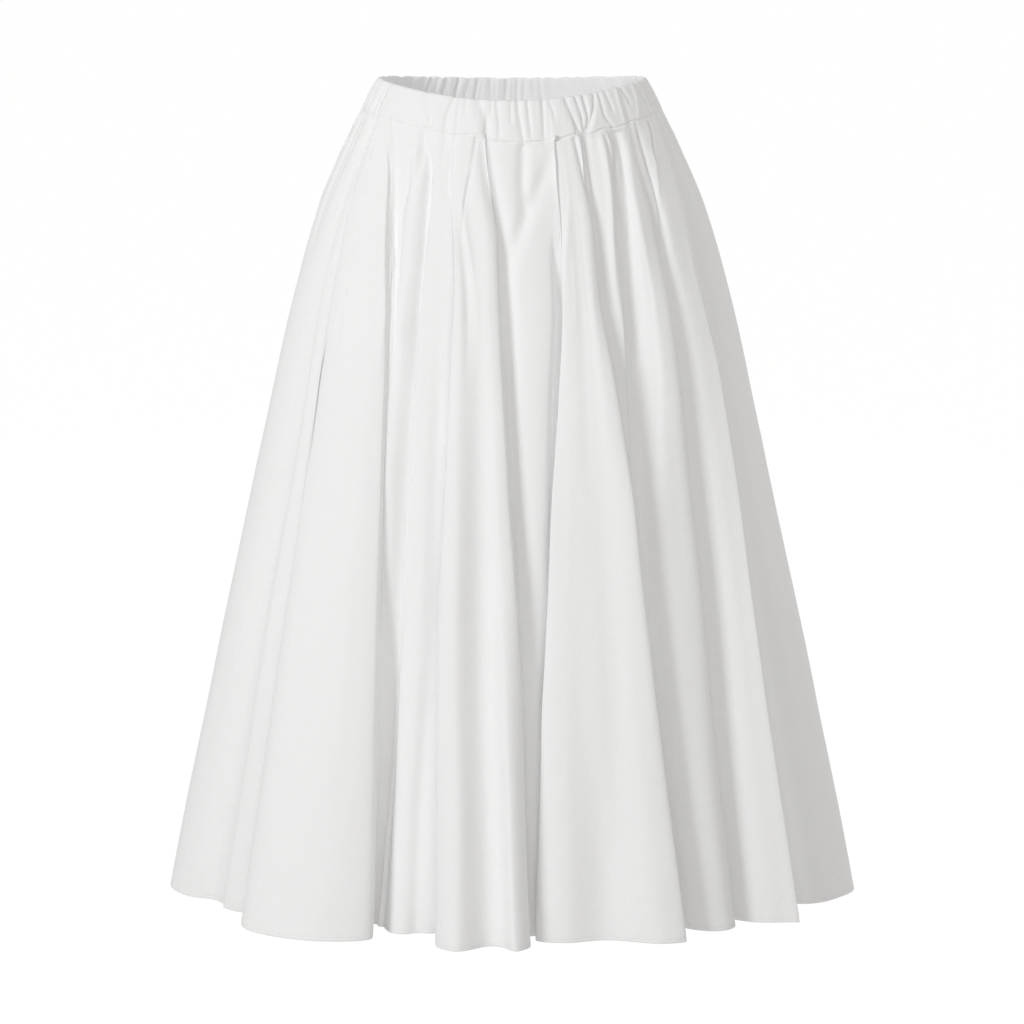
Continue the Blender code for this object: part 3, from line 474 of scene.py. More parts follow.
# The studio and the camera, which stands at the photograph's angle
FLOOR_Z = -1.040
FLOOR_SIZE = 120.0
WHITE = (1.0, 1.0, 1.0, 1.0)
FLOOR_WHITE = 0.96
FLOOR_GREY = (0.08, 0.08, 0.08, 1.0)
CAMERA_AT = (0.0, -3.9, 0.25)
CAMERA_AIM = (0.0, 0.0, -0.405)
CAMERA_LENS = 142.0
SENSOR = 36.0
WORLD_LIGHT = 0.46
LIGHT_BOUNCES = 12
WORLD_TINT = (1.0, 0.988, 0.970, 1.0)
Lamp = namedtuple("Lamp", "name at aim size power tint")
LAMPS = (
    Lamp("key", (-2.30, -2.80, 1.10), CAMERA_AIM, 1.3, 53.0, (0.97, 0.985, 1.0)),
    Lamp("front", (0.40, -3.95, 0.40), CAMERA_AIM, 2.0, 22.0, (1.0, 0.99, 0.975)),
    Lamp("back_left", (-2.60, 1.60, 0.40), CAMERA_AIM, 2.0, 11.0, (1.0, 1.0, 1.0)),
    Lamp("back_right", (2.60, 1.60, 0.40), CAMERA_AIM, 2.0, 20.0, (1.0, 0.985, 0.96)),
    Lamp("through_cloth", (0.0, 0.0, -0.16), (0.0, 0.0, 0.3), 0.12, 0.045, (0.98, 0.98, 1.0)),
)


def front_or_back(form, angle):
    """The front or the back value of a form at angles in radians."""
    return np.where(np.cos(angle) > 0, form.front, form.back)


def height_at(heights, angle):
    """Height of a band edge at angles, smooth from the side to the middle of front or back."""
    return heights.side + (front_or_back(heights, angle) - heights.side) * np.cos(angle) ** 2


def unit(vectors):
    return vectors / np.linalg.norm(vectors, axis=-1)[..., None]


def oval_point(oval, angle, reach):
    across = reach * oval.half_width * np.sin(angle)
    return np.stack([across, -reach * front_or_back(oval, angle) * np.cos(angle)], axis=-1)


def oval_outward(oval, angle):
    """Outward unit normals of an oval at angles."""
    across = front_or_back(oval, angle) * np.sin(angle)
    return unit(np.stack([across, -oval.half_width * np.cos(angle)], axis=-1))


def oval_span(oval, angle):
    """Metres along an oval for each radian at an angle."""
    return np.hypot(oval.half_width * np.cos(angle), front_or_back(oval, angle) * np.sin(angle))


def oval_place(oval, points):
    """The angles at which points lie round an oval, and how far out they lie as a share of it."""
    across = points[:, 0] / oval.half_width
    ahead = -points[:, 1] / np.where(points[:, 1] < 0, oval.front, oval.back)
    return np.arctan2(across, ahead), np.hypot(across, ahead)


def oval_at(drop):
    """The oval at a drop below the origin, on smooth curves through the table's rows."""
    i = max(k for k, row in enumerate(OVALS[:-1]) if row.drop <= drop or k == 0)
    before, start, end, after = np.array(OVALS)[np.clip(range(i - 1, i + 3), 0, len(OVALS) - 1)]
    length = end[0] - start[0]
    f = (min(max(drop, TOP_DROP), HEM_DROP) - start[0]) / length
    slope_in = (end - before) / (end[0] - before[0]) * length
    slope_out = (after - start) / (after[0] - start[0]) * length
    return Oval(*(
        start * (2 * f**3 - 3 * f**2 + 1) + slope_in * (f**3 - 2 * f**2 + f)
        + end * (3 * f**2 - 2 * f**3) + slope_out * (f**3 - f**2)
    ))


def ring_places(folds):
    """The places that the section passes, from left to right, of folds that don't end with a valley."""
    places = []
    for k, fold in enumerate(folds):
        for share, reach in zip(FACE_PLACES, fold.reach):
            edges = [left + (right - left) * share for left, right in (fold.waist, fold.hip, fold.hem)]
            places.append(Place(*edges, reach, fold.name, share))
        if fold.valley:
            after = folds[k + 1]
            waist, hip = (fold.waist[1] + after.waist[0]) / 2, (fold.hip[1] + after.hip[0]) / 2
            places.append(Place(waist, hip, *fold.valley, fold.name, None))
    return places


def between(a, b, knot_a, knot_b, knot):
    return a + (b - a) * (knot - knot_a) / (knot_b - knot_a)


def crowded(count, at_start, at_end):
    """Shares from 0 up to 1 that crowd together at the start or the end of a span, or at both."""
    u = np.arange(count) / count
    if at_start and at_end:
        return np.where(u < 0.5, (2 * u) ** CROWDING / 2, 1 - (2 - 2 * u) ** CROWDING / 2)
    if at_start:
        return u**CROWDING
    if at_end:
        return 1 - (1 - u) ** CROWDING
    return u


def smooth_ring(points, steps, edges):
    """A closed centripetal curve through the points, with its own number of samples after each point."""
    count = len(points)
    ring = []
    for i in range(count):
        p = [points[(i + k) % count] for k in (-1, 0, 1, 2)]
        knots = [0.0]
        for a, b in zip(p, p[1:]):
            knots.append(knots[-1] + math.sqrt(np.linalg.norm(b - a)))
        shares = crowded(steps[i], edges[i], edges[(i + 1) % count])
        t = (knots[1] + (knots[2] - knots[1]) * shares)[:, None]
        lower = [between(p[k], p[k + 1], knots[k], knots[k + 1], t) for k in range(3)]
        upper = [between(lower[k], lower[k + 1], knots[k], knots[k + 2], t) for k in range(2)]
        ring.append(between(upper[0], upper[1], knots[1], knots[2], t))
    return np.concatenate(ring)


def key_rings():
    """The sections at the keys, the sample at which each place lies, and how far along each sample lies."""
    places = ring_places(FRONT_FOLDS + BACK_FOLDS)
    front_places = len(ring_places(FRONT_FOLDS)) - 1
    edges = {(edge.fold, edge.share) for edge in FRONT_EDGES}
    crowds = [(place.fold, place.share) in edges for place in places]
    points = []
    for column, key in enumerate(KEYS):
        oval = oval_at(key.drop)
        reaches = [1 + (place.reach / 100 - 1) * key.share for place in places]
        angles = [math.radians(place[column]) for place in places]
        points.append([oval_point(oval, angle, reach) for angle, reach in zip(angles, reaches)])
    steps, samples, along = [], {}, []
    for k, place in enumerate(places):
        after = (k + 1) % len(places)
        step = FRONT_STEPS if k < front_places else BACK_STEPS
        waist, hem = (np.linalg.norm(ring[after] - ring[k]) for ring in (points[0], points[-1]))
        count = max(LEAST_STEPS, math.ceil(hem / step.hem), math.ceil(waist / step.waist))
        samples[place.fold, place.share] = sum(steps)
        along.append(sum(steps) + count * crowded(count, crowds[k], crowds[after]))
        steps.append(count)
    return [smooth_ring(ring, steps, crowds) for ring in points], samples, np.concatenate(along)


def blend_of_keys(keys, value):
    """Weights of three keys whose quadratic blend passes through each of them."""
    return [math.prod((value - other) / (key - other) for other in keys if other != key) for key in keys]


def section(rings, drop):
    """The closed section at a drop: it widens as the ovals do."""
    here = oval_at(drop)
    keys = [oval_at(key.drop) for key in KEYS]
    blends = []
    for size, axis in (("half_width", 0), ("front", 1), ("back", 1)):
        weights = blend_of_keys([getattr(key, size) for key in keys], getattr(here, size))
        blends.append(sum(weight * ring[:, axis] for weight, ring in zip(weights, rings)))
    across, front, back = blends
    return np.column_stack([across, np.where(front < 0, front, back)])


def sideways_moves(drops, along, samples):
    """How far each sample of each section moves round to the right of the solids' folds, in metres."""
    at = [samples[row.fold, row.share] for row in SIDEWAYS]
    table = np.array([np.interp(drops, SIDEWAYS_DROPS, row.moves) for row in SIDEWAYS]) / 1000
    moves = np.array([softened(np.interp(along, along[at], column), MOVES_ROUND) for column in table.T])
    return np.array([softened(column, MOVES_DOWN) for column in moves.T]).T


def moved_round(ring, oval, moves):
    """A section whose samples have moved round the oval at the same reach."""
    depth = np.where(ring[:, 1] < 0, oval.front, oval.back)
    angle, reach = oval_place(oval, ring)
    angle = angle + moves / np.hypot(oval.half_width * np.cos(angle), depth * np.sin(angle))
    return np.column_stack([reach * oval.half_width * np.sin(angle), -reach * depth * np.cos(angle)])


def outward(ring):
    """Outward unit normals of a closed ring that runs anticlockwise seen from above."""
    along = unit(np.roll(ring, -1, axis=0) - np.roll(ring, 1, axis=0))
    return np.column_stack([along[:, 1], -along[:, 0]])


def uneven(k, what):
    """A number from -1 to 1 that wanders as k goes up, the same on each run."""
    return sum(share * math.sin(run * k + start) for run, (share, start) in zip(WANDERS[what], UNEVEN_WAVES))


def varied(size, varies, k, what):
    return size * (1.0 + varies * uneven(k, what))


def spread(span, count, wanders, what):
    """Angles spread over a span, each of which wanders a little from its place."""
    first, last = span
    return [first + (k + 0.5) * (last - first) / count + wanders * uneven(k, what) for k in range(count)]


def ease(value):
    value = np.clip(value, 0.0, 1.0)
    return value * value * (3 - 2 * value)


def bell(away, half):
    return np.exp(-((away / half) ** 2))


def softened(values, reach):
    """Values smoothed over a few neighbours on each side, with the ends kept."""
    kernel = np.hanning(2 * reach + 3)[1:-1]
    return np.convolve(np.pad(values, reach, mode="edge"), kernel / kernel.sum(), mode="valid")


def turned(degrees):
    """Angles brought to between -180 and 180."""
    return (degrees + 180.0) % 360.0 - 180.0


def profile(away, crease, sharpest):
    """How far the cloth is drawn in at distances from a crease's line."""
    left = crease.left * np.exp(-np.abs(away / crease.left_width) ** crease.power)
    right = crease.right * np.exp(-np.abs(away / crease.right_width) ** crease.power)
    side = ease(away / (2 * sharpest) + 0.5)
    return left * (1 - side) + right * side


def draw_creases(creases, drops, degrees, ovals):
    """How far the cloth is drawn in by the creases, at each place of a panel's grid."""
    total = np.zeros(degrees.shape)
    for crease in creases:
        at, drop, strength = zip(*crease.path)
        rows = np.where((drops >= drop[0]) & (drops <= drop[-1]))[0]
        middles = softened(np.interp(drops[rows], drop, at), PATH_SMOOTH)
        strengths = softened(np.interp(drops[rows], drop, strength), STRENGTH_SMOOTH)
        for row, middle, strong in zip(rows, middles, strengths):
            away = np.radians(turned(degrees[row] - middle)) * oval_span(ovals[row], math.radians(middle))
            total[row] += strong * profile(away, crease, np.interp(drops[row], *SHARPEST_DOWN))
    return total


def draw_edges(edges, drops, across, samples):
    """How far the cloth is drawn in by the edges of the large folds, at each place of the front's grid."""
    total = np.zeros(across.shape)
    for edge in edges:
        drop, strength = zip(*edge.strengths)
        strengths = softened(np.interp(drops, drop, strength), STRENGTH_SMOOTH)
        away = across - across[:, [samples[edge.fold, edge.share]]]
        total += strengths[:, None] * profile(away, edge, EDGE_SHARPEST)
    return total


def back_creases():
    """Small pleats under the band all round the back, uneven in place, length and depth."""
    creases = []
    for k, middle in enumerate(spread(BACK, BACK_PLEATS, BACK_PLEAT_WANDERS, "place")):
        lean = BACK_PLEAT_WANDERS * uneven(k, "lean")
        end = BACK_PLEAT_END + BACK_PLEAT_END_VARIES * uneven(k, "pleat_end")
        depth = varied(BACK_PLEAT_DEPTH, BACK_PLEAT_VARIES, k, "depth")
        width = varied(BACK_PLEAT_WIDTH, BACK_PLEAT_VARIES, k, "width")
        path = [(middle, *BACK_PLEAT_START)]
        path += [(middle + turn * lean, down * end, strength) for turn, down, strength in BACK_PLEAT_PATH]
        kind = np.array(SHARP_PLEAT if uneven(k, "sharp") > 0 else SOFT_PLEAT)
        creases.append(Crease("pleat", *(kind * (depth, width, depth, width, 1.0)), path))
    return creases


def wavy(across, down, waves, seed):
    """Uneven heights of the cloth at places given in metres across and down it."""
    heights = np.zeros(across.shape)
    for k, wave in enumerate(waves):
        flat = [
            noise.noise(Vector((u / wave.across, v / wave.down, seed + WAVE_LAYER * k)))
            for u, v in zip(across.ravel(), down.ravel())
        ]
        heights += wave.depth * np.array(flat).reshape(across.shape)
    return heights


def mesh_object(name, points, faces, material):
    mesh = bpy.data.meshes.new(name)
    mesh.from_pydata(points, [], faces)
    mesh.materials.append(material)
    obj = bpy.data.objects.new(name, mesh)
    bpy.context.scene.collection.objects.link(obj)
    return obj


def grid_object(name, points, across, down, material, flip=False):
    """A sheet through a grid of points in rows down and columns round, with the cloth's metres as its UVs."""
    rows, columns = points.shape[:2]
    index = np.arange(rows * columns).reshape(rows, columns)
    a, b, c, d = index[:-1, :-1], index[1:, :-1], index[1:, 1:], index[:-1, 1:]
    faces = np.stack([a, d, c, b] if flip else [a, b, c, d], axis=-1).reshape(-1, 4)
    obj = mesh_object(name, points.reshape(-1, 3).tolist(), faces.tolist(), material)
    layer = obj.data.uv_layers.new(name="cloth")
    corners = np.empty(len(obj.data.loops), dtype=np.int32)
    obj.data.loops.foreach_get("vertex_index", corners)
    places = np.stack([across.ravel(), np.repeat(down, columns)], axis=-1)[corners]
    layer.data.foreach_set("uv", places.astype(np.float32).ravel())
    obj.data.shade_smooth()
    return obj


def seam_height(degrees):
    """Height of the seam under the band: the solids' smooth line with the uneven lifts of the front."""
    lifts = np.interp(turned(degrees), *zip(*SEAM_LIFTS), left=0.0, right=0.0)
    return height_at(BAND_SEAM, np.radians(degrees)) + lifts


def seam_shows(degrees):
    return np.interp(turned(degrees), *zip(*SEAM_SHOWS), left=SEAM_SHOWS_BEHIND, right=SEAM_SHOWS_BEHIND)


def band_gathers(degrees, share, gathers, oval):
    """How far the band's cloth is drawn in at an angle and a share of the way down."""
    total = np.zeros(degrees.shape)
    for gather in gathers:
        at, down = zip(*gather.path)
        fade = ease((share - down[0] + GATHER_REACHES) / GATHER_FADE)
        fade *= ease((down[-1] - share + GATHER_REACHES) / GATHER_FADE)
        away = np.radians(turned(degrees - np.interp(share, down, at))) * (oval.half_width + oval.front) / 2
        width = np.where(away < 0, gather.left_width, gather.right_width)
        total += gather.depth * fade * np.exp(-np.abs(away / width) ** GATHER_POWER)
    return total


def kept_gathers(degrees, share, gathers):
    """The gathers of the band's outer face, none of them deeper or higher than the most."""
    return np.clip(band_gathers(degrees, share, gathers, OVALS[0]), -MOST_GATHERED, MOST_GATHERED)


def seam_draw(degrees, gathers):
    """How far the cloth is drawn in at the seam under the band, on both sides of it."""
    return SEAM_KEEPS * kept_gathers(degrees, 1.0, gathers)


def seam_groove(degrees, away):
    return SEAM_GROOVE * seam_shows(degrees) * bell(away, SEAM_GROOVE_HALF)


def gaps_at(gap, drops):
    """Half of the gap of a side seam at each drop."""
    closed = ease((drops - gap.from_drop) / (gap.to_drop - gap.from_drop))
    return CLOSED_GAP + (gap.widest - CLOSED_GAP) * (1 - closed)


def side_dips(along, gaps):
    """How far the cloth dips at its two side seams, at places along it in metres."""
    aways = (along - along[..., :1], along[..., -1:] - along)
    return sum(SEAM_DIP_FOR_GAP * gap * bell(away, SEAM_DIP_WIDTH) for gap, away in zip(gaps, aways))


def panel_rows():
    """Shares of the way down a panel, closer together at the top and within the hem."""
    length = HEM_DROP - TOP_DROP
    last = 1.0 - HEM_BAND / length
    rows = (np.arange(PANEL_ROWS) / PANEL_ROWS) ** ROW_SPREAD * last
    return np.concatenate([rows, np.linspace(last, 1.0 - HEM_FOLD / length, HEM_ROWS)])


def top_tuck(points, normals):
    """Rows above a panel's first that tuck it under the band."""
    rows = []
    for rise, inward in TUCK_ROWS:
        row = points[0] - normals[0] * TUCK_IN * inward
        row[:, 2] += TUCK_UP * rise
        rows.append(row)
    return rows


def hem_turn(points, normals):
    """Rows that turn a panel's last row round under the hem and up inside it."""
    rows = []
    for a in np.radians(HEM_TURNS):
        row = points[-1] - normals[-1] * HEM_FOLD * (1 - math.cos(a))
        row[:, 2] = HEM_Z + HEM_FOLD * (1 - math.sin(a))
        rows.append(row)
    return rows + [rows[-1] + (0.0, 0.0, HEM_UP * rise) for rise in HEM_RISES]


def with_allowances(points, normals, gaps):
    """A grid of points whose two side edges keep to their gaps and turn in as seam allowances."""
    sides = []
    for edge, near, gap in ((0, 1, gaps[0]), (-1, -2, gaps[1])):
        points[:, edge] += unit(points[:, near] - points[:, edge]) * np.reshape(gap, (-1, 1))
        inward = -normals[:, edge]
        sides.append(np.stack([points[:, edge] + inward * step for step in ALLOWANCE_STEPS], axis=1))
    return np.concatenate([sides[0][:, ::-1], points, sides[1]], axis=1)


def with_allowance_metres(across):
    """The metres across a sheet, carried on over its seam allowances."""
    steps = np.array(ALLOWANCE_STEPS)
    wide = np.pad(across, ((0, 0), (len(steps), len(steps))), mode="edge")
    wide[:, : len(steps)] -= steps[::-1]
    wide[:, -len(steps):] += steps
    return wide


def panel_draw(piece, drops, across, degrees, ovals, gaps):
    """How far a panel's cloth is drawn in along its sections' normals, at each place of its grid."""
    down = np.broadcast_to(drops[:, None], across.shape)
    at_waist, at_hem = (np.broadcast_to(row, across.shape) for row in (across[0], across[-1]))
    below_seam, from_hem = down - TOP_DROP, HEM_DROP - down
    draw = draw_creases(piece.creases, drops, degrees, ovals) * ease(below_seam / PLEATS_OPEN)
    draw += seam_draw(degrees[0], piece.gathers) * (1 - ease(below_seam / GATHERS_FADE))
    draw += seam_groove(degrees[0], below_seam)
    puckers = wavy(at_waist, down, SEAM_PUCKERS, piece.seed + SEAM_LAYER)
    draw -= puckers * (1 - ease(below_seam / SEAM_PUCKERS_END))
    draw += side_dips(across, [gap[:, None] for gap in gaps])
    calm = (1 + ease(from_hem / HEM_CALM)) / 2
    draw -= wavy(at_hem, down, PANEL_WAVES, piece.seed) * calm * ease(WAVES_START + below_seam / WAVES_GROW)
    draw += HEM_STITCH_DRAW * bell(from_hem - HEM_STITCH_UP, HEM_STITCH_HALF)
    puckers = wavy(at_hem, down, HEM_PUCKERS, piece.seed + HEM_LAYER)
    return draw - puckers * bell(from_hem - HEM_STITCH_UP, HEM_PUCKER_HALF)


def panel(piece, rings, samples, along, material):
    """One panel of the skirt as a sheet, with its grid of points and their normals for the stitches."""
    shares = panel_rows()
    drops = TOP_DROP + (HEM_DROP - TOP_DROP) * shares
    ovals = [oval_at(drop) for drop in drops]
    sections = [section(rings, drop) for drop in drops]
    sections = list(map(moved_round, sections, ovals, sideways_moves(drops, along, samples)))
    flat = np.array([ring[piece.picks] for ring in sections])
    normals = np.array([outward(ring)[piece.picks] for ring in sections])
    angles = np.array([oval_place(oval, ring)[0] for oval, ring in zip(ovals, flat)])
    outs = np.array([oval_outward(oval, row) for oval, row in zip(ovals, angles)])
    across = np.pad(np.cumsum(np.linalg.norm(np.diff(flat, axis=1), axis=2), axis=1), ((0, 0), (1, 0)))
    across -= across[:, -1:] / 2
    gaps = [gaps_at(gap, drops) for gap in piece.gaps]
    draw = panel_draw(piece, drops, across, np.degrees(angles), ovals, gaps)
    edge_draw = draw_edges(piece.edges, drops, across, samples)
    flat = flat - normals * draw[:, :, None] - outs * edge_draw[:, :, None]
    tops = seam_height(np.degrees(angles[0]))
    heights = tops + (HEM_Z - tops) * shares[:, None]
    points = np.concatenate([flat, heights[:, :, None]], axis=2)
    normals = np.pad(normals, ((0, 0), (0, 0), (0, 1)))
    tuck, hem = top_tuck(points, normals), hem_turn(points, normals)
    ends = (len(tuck), len(hem))
    around = np.pad(normals, (ends, (0, 0), (0, 0)), mode="edge")
    gaps = [np.pad(gap, ends, mode="edge") for gap in gaps]
    full = with_allowances(np.concatenate([tuck, points, hem]), around, gaps)
    wide = with_allowance_metres(np.pad(across, (ends, (0, 0)), mode="edge"))
    turns = np.cumsum(np.linalg.norm(np.diff([row[0] for row in [points[-1]] + hem], axis=0), axis=1))
    rises = np.array([rise for rise, _ in TUCK_ROWS])
    down = np.concatenate([drops[0] - TUCK_UP * rises, drops, drops[-1] + turns])
    return grid_object(piece.name + "_cloth", full, wide, down, material), points, normals


def back_gathers():
    """Gathers of the band's outer face all round the back."""
    gathers = []
    for k, middle in enumerate(spread(BACK, BACK_GATHERS, BACK_GATHER_WANDERS, "place")):
        lean = BACK_GATHER_LEANS * uneven(k, "lean")
        depth = varied(BACK_GATHER_DEPTH, BACK_GATHER_VARIES, k, "depth")
        width = varied(BACK_GATHER_WIDTH, BACK_GATHER_VARIES, k, "width")
        start = 0.0 if uneven(k, "gather_start") > LATE_BELOW else LATE_START
        end = 1.0 if uneven(k, "gather_end") > EARLY_BELOW else EARLY_END
        gathers.append(Gather(depth, width, width, ((middle, start), (middle + lean, end))))
    return gathers


def inside_gathers(span):
    """Gathers of the band's inner face: those that show, and others between them that follow a rule."""
    gathers = [
        Gather(depth, INSIDE_WIDTH, INSIDE_WIDTH, ((at, 0.0), (at + INSIDE_LEAN, 1.0)))
        for at, depth in INSIDE_GATHERS
    ]
    count = int((span[1] - span[0]) / INSIDE_SPACING)
    for k, middle in enumerate(spread(span, count, INSIDE_WANDERS, "inside_place")):
        depth = varied(INSIDE_SMALL_DEPTH, INSIDE_SMALL_VARIES, k, "inside_depth")
        path = ((middle, 0.0), (middle + uneven(k, "inside_lean"), 1.0))
        gathers.append(Gather(depth, INSIDE_SMALL_WIDTH, INSIDE_SMALL_WIDTH, path))
    return gathers


def band(piece, ring, material):
    """Half of the gathered casing over its span: a strip up its face, over its top and down inside."""
    first, last = piece.span
    radius = (BAND_TOP_OVAL.half_width + BAND_TOP_OVAL.front) / 2
    degrees = np.linspace(first, last, int(math.radians(last - first) * radius / BAND_STEP))
    angle = np.radians(degrees)
    along = angle * radius
    out = np.stack([np.sin(angle), -np.cos(angle)], axis=-1)
    waist_angles, waist_reaches = oval_place(OVALS[0], ring)
    reach = np.interp(degrees, np.degrees(waist_angles), waist_reaches, period=360.0)
    top_point, seam_point = oval_point(BAND_TOP_OVAL, angle, 1.0), oval_point(OVALS[0], angle, reach)
    top, seam = height_at(BAND_TOP, angle), seam_height(degrees)
    height = float((top - seam).mean())
    top_draw = np.minimum(band_gathers(degrees, 0.0, piece.gathers, BAND_TOP_OVAL), MOST_GATHERED)
    at_seam = seam_draw(degrees, piece.gathers)
    dips = side_dips(along, [gap.widest for gap in piece.gaps])
    inside = inside_gathers(piece.span)
    rows, lengths = [], []

    def add_row(share, inward, length):
        swell = BAND_SWELL * math.sin(math.pi * share)
        xy = top_point * (1 - share) + seam_point * share + out * (swell - inward)[:, None]
        z = top + (seam - top) * share - SCALLOP * top_draw * (1 - share)
        rows.append(np.column_stack([xy, z]))
        lengths.append(length)

    add_row(1.0, SEAM_UNDER + at_seam, 0.0)
    face = np.linspace(BAND_FACE_START, height - TOP_ROUND, BAND_FACE_ROWS)
    for up in np.concatenate([BAND_SEAM_RISES, face]):
        share = 1.0 - up / height
        gathered = kept_gathers(degrees, share, piece.gathers)
        gathered -= wavy(along, np.full(len(along), share * height), BAND_WAVES, piece.seed)
        calm = ease(up / SEAM_CALMS)
        lip = SEAM_LIP * seam_shows(degrees) * bell(up - SEAM_LIP_UP, SEAM_GROOVE_HALF)
        draw = gathered * calm + at_seam * (1 - calm) + seam_groove(degrees, up) - lip + dips
        add_row(share, draw, SEAM_UNDER + up)
    round_share = TOP_ROUND / height
    start = CASING + INNER_FOLLOWS * top_draw - band_gathers(degrees, INNER_START, inside, BAND_TOP_OVAL)
    step = math.pi / (BAND_ROUND_ROWS + 1)
    for turn in step * np.arange(1, BAND_ROUND_ROWS + 1):
        inward = draw + (start - draw) * (1 - math.cos(turn)) / 2
        add_row(round_share * (1 - math.sin(turn)), inward, lengths[-1] + step * TOP_ROUND)
    for share in np.linspace(round_share, 1.0, BAND_INSIDE_ROWS + 1):
        waves = wavy(along, np.full(len(along), share * height), BAND_WAVES, piece.seed + INNER_LAYER)
        inward = CASING + INNER_FOLLOWS * top_draw * (1 - share) + INNER_WAVES * waves
        inward -= band_gathers(degrees, share, inside, OVALS[0])
        add_row(share, inward, lengths[-1] + height * (1.0 - round_share) / BAND_INSIDE_ROWS)
    outs = np.repeat(np.pad(out, ((0, 0), (0, 1)))[None] * BAND_END_TURN, len(rows), axis=0)
    outs[-1 - BAND_INSIDE_ROWS:] *= -1.0
    full = with_allowances(np.array(rows), outs, [gap.widest for gap in piece.gaps])
    wide = with_allowance_metres(np.broadcast_to(along, (len(rows), len(along))))
    return grid_object(piece.name + "_cloth", full, wide, lengths, material, flip=True)


def stitch_template():
    """One stitch along +X, with +Z out of the cloth: its points and its faces."""
    points = [(-STITCH_LENGTH / 2, 0.0, -STITCH_RISE)]
    for x, swell in STITCH_RINGS:
        for a in 2 * math.pi * np.arange(STITCH_SIDES) / STITCH_SIDES:
            radius = swell * STITCH_WIDTH / 2
            points.append((x * STITCH_LENGTH, radius * math.cos(a), radius * math.sin(a)))
    points.append((STITCH_LENGTH / 2, 0.0, -STITCH_RISE))
    faces = []
    for k in range(STITCH_SIDES):
        after = (k + 1) % STITCH_SIDES
        faces.append((0, 1 + after, 1 + k))
        for ring in range(len(STITCH_RINGS) - 1):
            a, b = 1 + ring * STITCH_SIDES + k, 1 + ring * STITCH_SIDES + after
            faces += [(a, b, b + STITCH_SIDES), (a, b + STITCH_SIDES, a + STITCH_SIDES)]
        last = len(points) - 1 - STITCH_SIDES
        faces.append((last + k, last + after, len(points) - 1))
    return np.array(points), np.array(faces)


def stitch_row(name, line, normals, material):
    """A row of stitches along a line that lies on the cloth."""
    run = np.pad(np.cumsum(np.linalg.norm(np.diff(line, axis=0), axis=1)), (1, 0))
    places = np.arange(STITCH_STEP, run[-1] - STITCH_STEP, STITCH_STEP)

    def read(values, at):
        return np.column_stack([np.interp(at, run, column) for column in values.T])

    middle, normal = read(line, places), read(normals, places)
    along = unit(read(line, places + STITCH_AHEAD * STITCH_STEP) - middle)
    normal = unit(normal - along * np.sum(normal * along, axis=1)[:, None])
    shape, faces = stitch_template()
    points = (middle + normal * STITCH_RISE)[:, None]
    for k, axis in enumerate((along, np.cross(normal, along), normal)):
        points = points + axis[:, None] * shape[None, :, k, None]
    all_faces = (faces[None] + (np.arange(len(places)) * len(shape))[:, None, None]).reshape(-1, 3)
    obj = mesh_object(name, points.reshape(-1, 3).tolist(), all_faces.tolist(), material)
    obj.data.shade_smooth()
    return obj


def line_at_height(points, normals, height):
    """The line across a panel's grid where its columns pass a height, with its normals."""
    columns = np.concatenate([points, normals], axis=2)[::-1].swapaxes(0, 1)
    line = np.array([[np.interp(height, column[:, 2], values) for values in column.T] for column in columns])
    return line[:, :3], line[:, 3:]


def new_material(name, finish):
    """A material with values on its shader's own sockets, the tree of its nodes and the shader."""
    material = bpy.data.materials.new(name)
    material.use_nodes = True
    shader = material.node_tree.nodes["Principled BSDF"]
    for socket, value in finish.items():
        shader.inputs[socket].default_value = value
    return material, material.node_tree, shader


def add_node(tree, kind, at, inputs=(), **settings):
    node = tree.nodes.new("ShaderNode" + kind)
    node.location = at
    for key, value in settings.items():
        setattr(node, key, value)
    for socket, value in dict(inputs).items():
        node.inputs[socket].default_value = value
    return node


def add_ramp(tree, at, dark, light, dark_at, light_at):
    """A node that turns a number into a colour between a dark and a light one."""
    ramp = add_node(tree, "ValToRGB", at)
    for stop, colour, place in zip(ramp.color_ramp.elements, (dark, light), (dark_at, light_at)):
        stop.color = colour
        stop.position = place
    return ramp


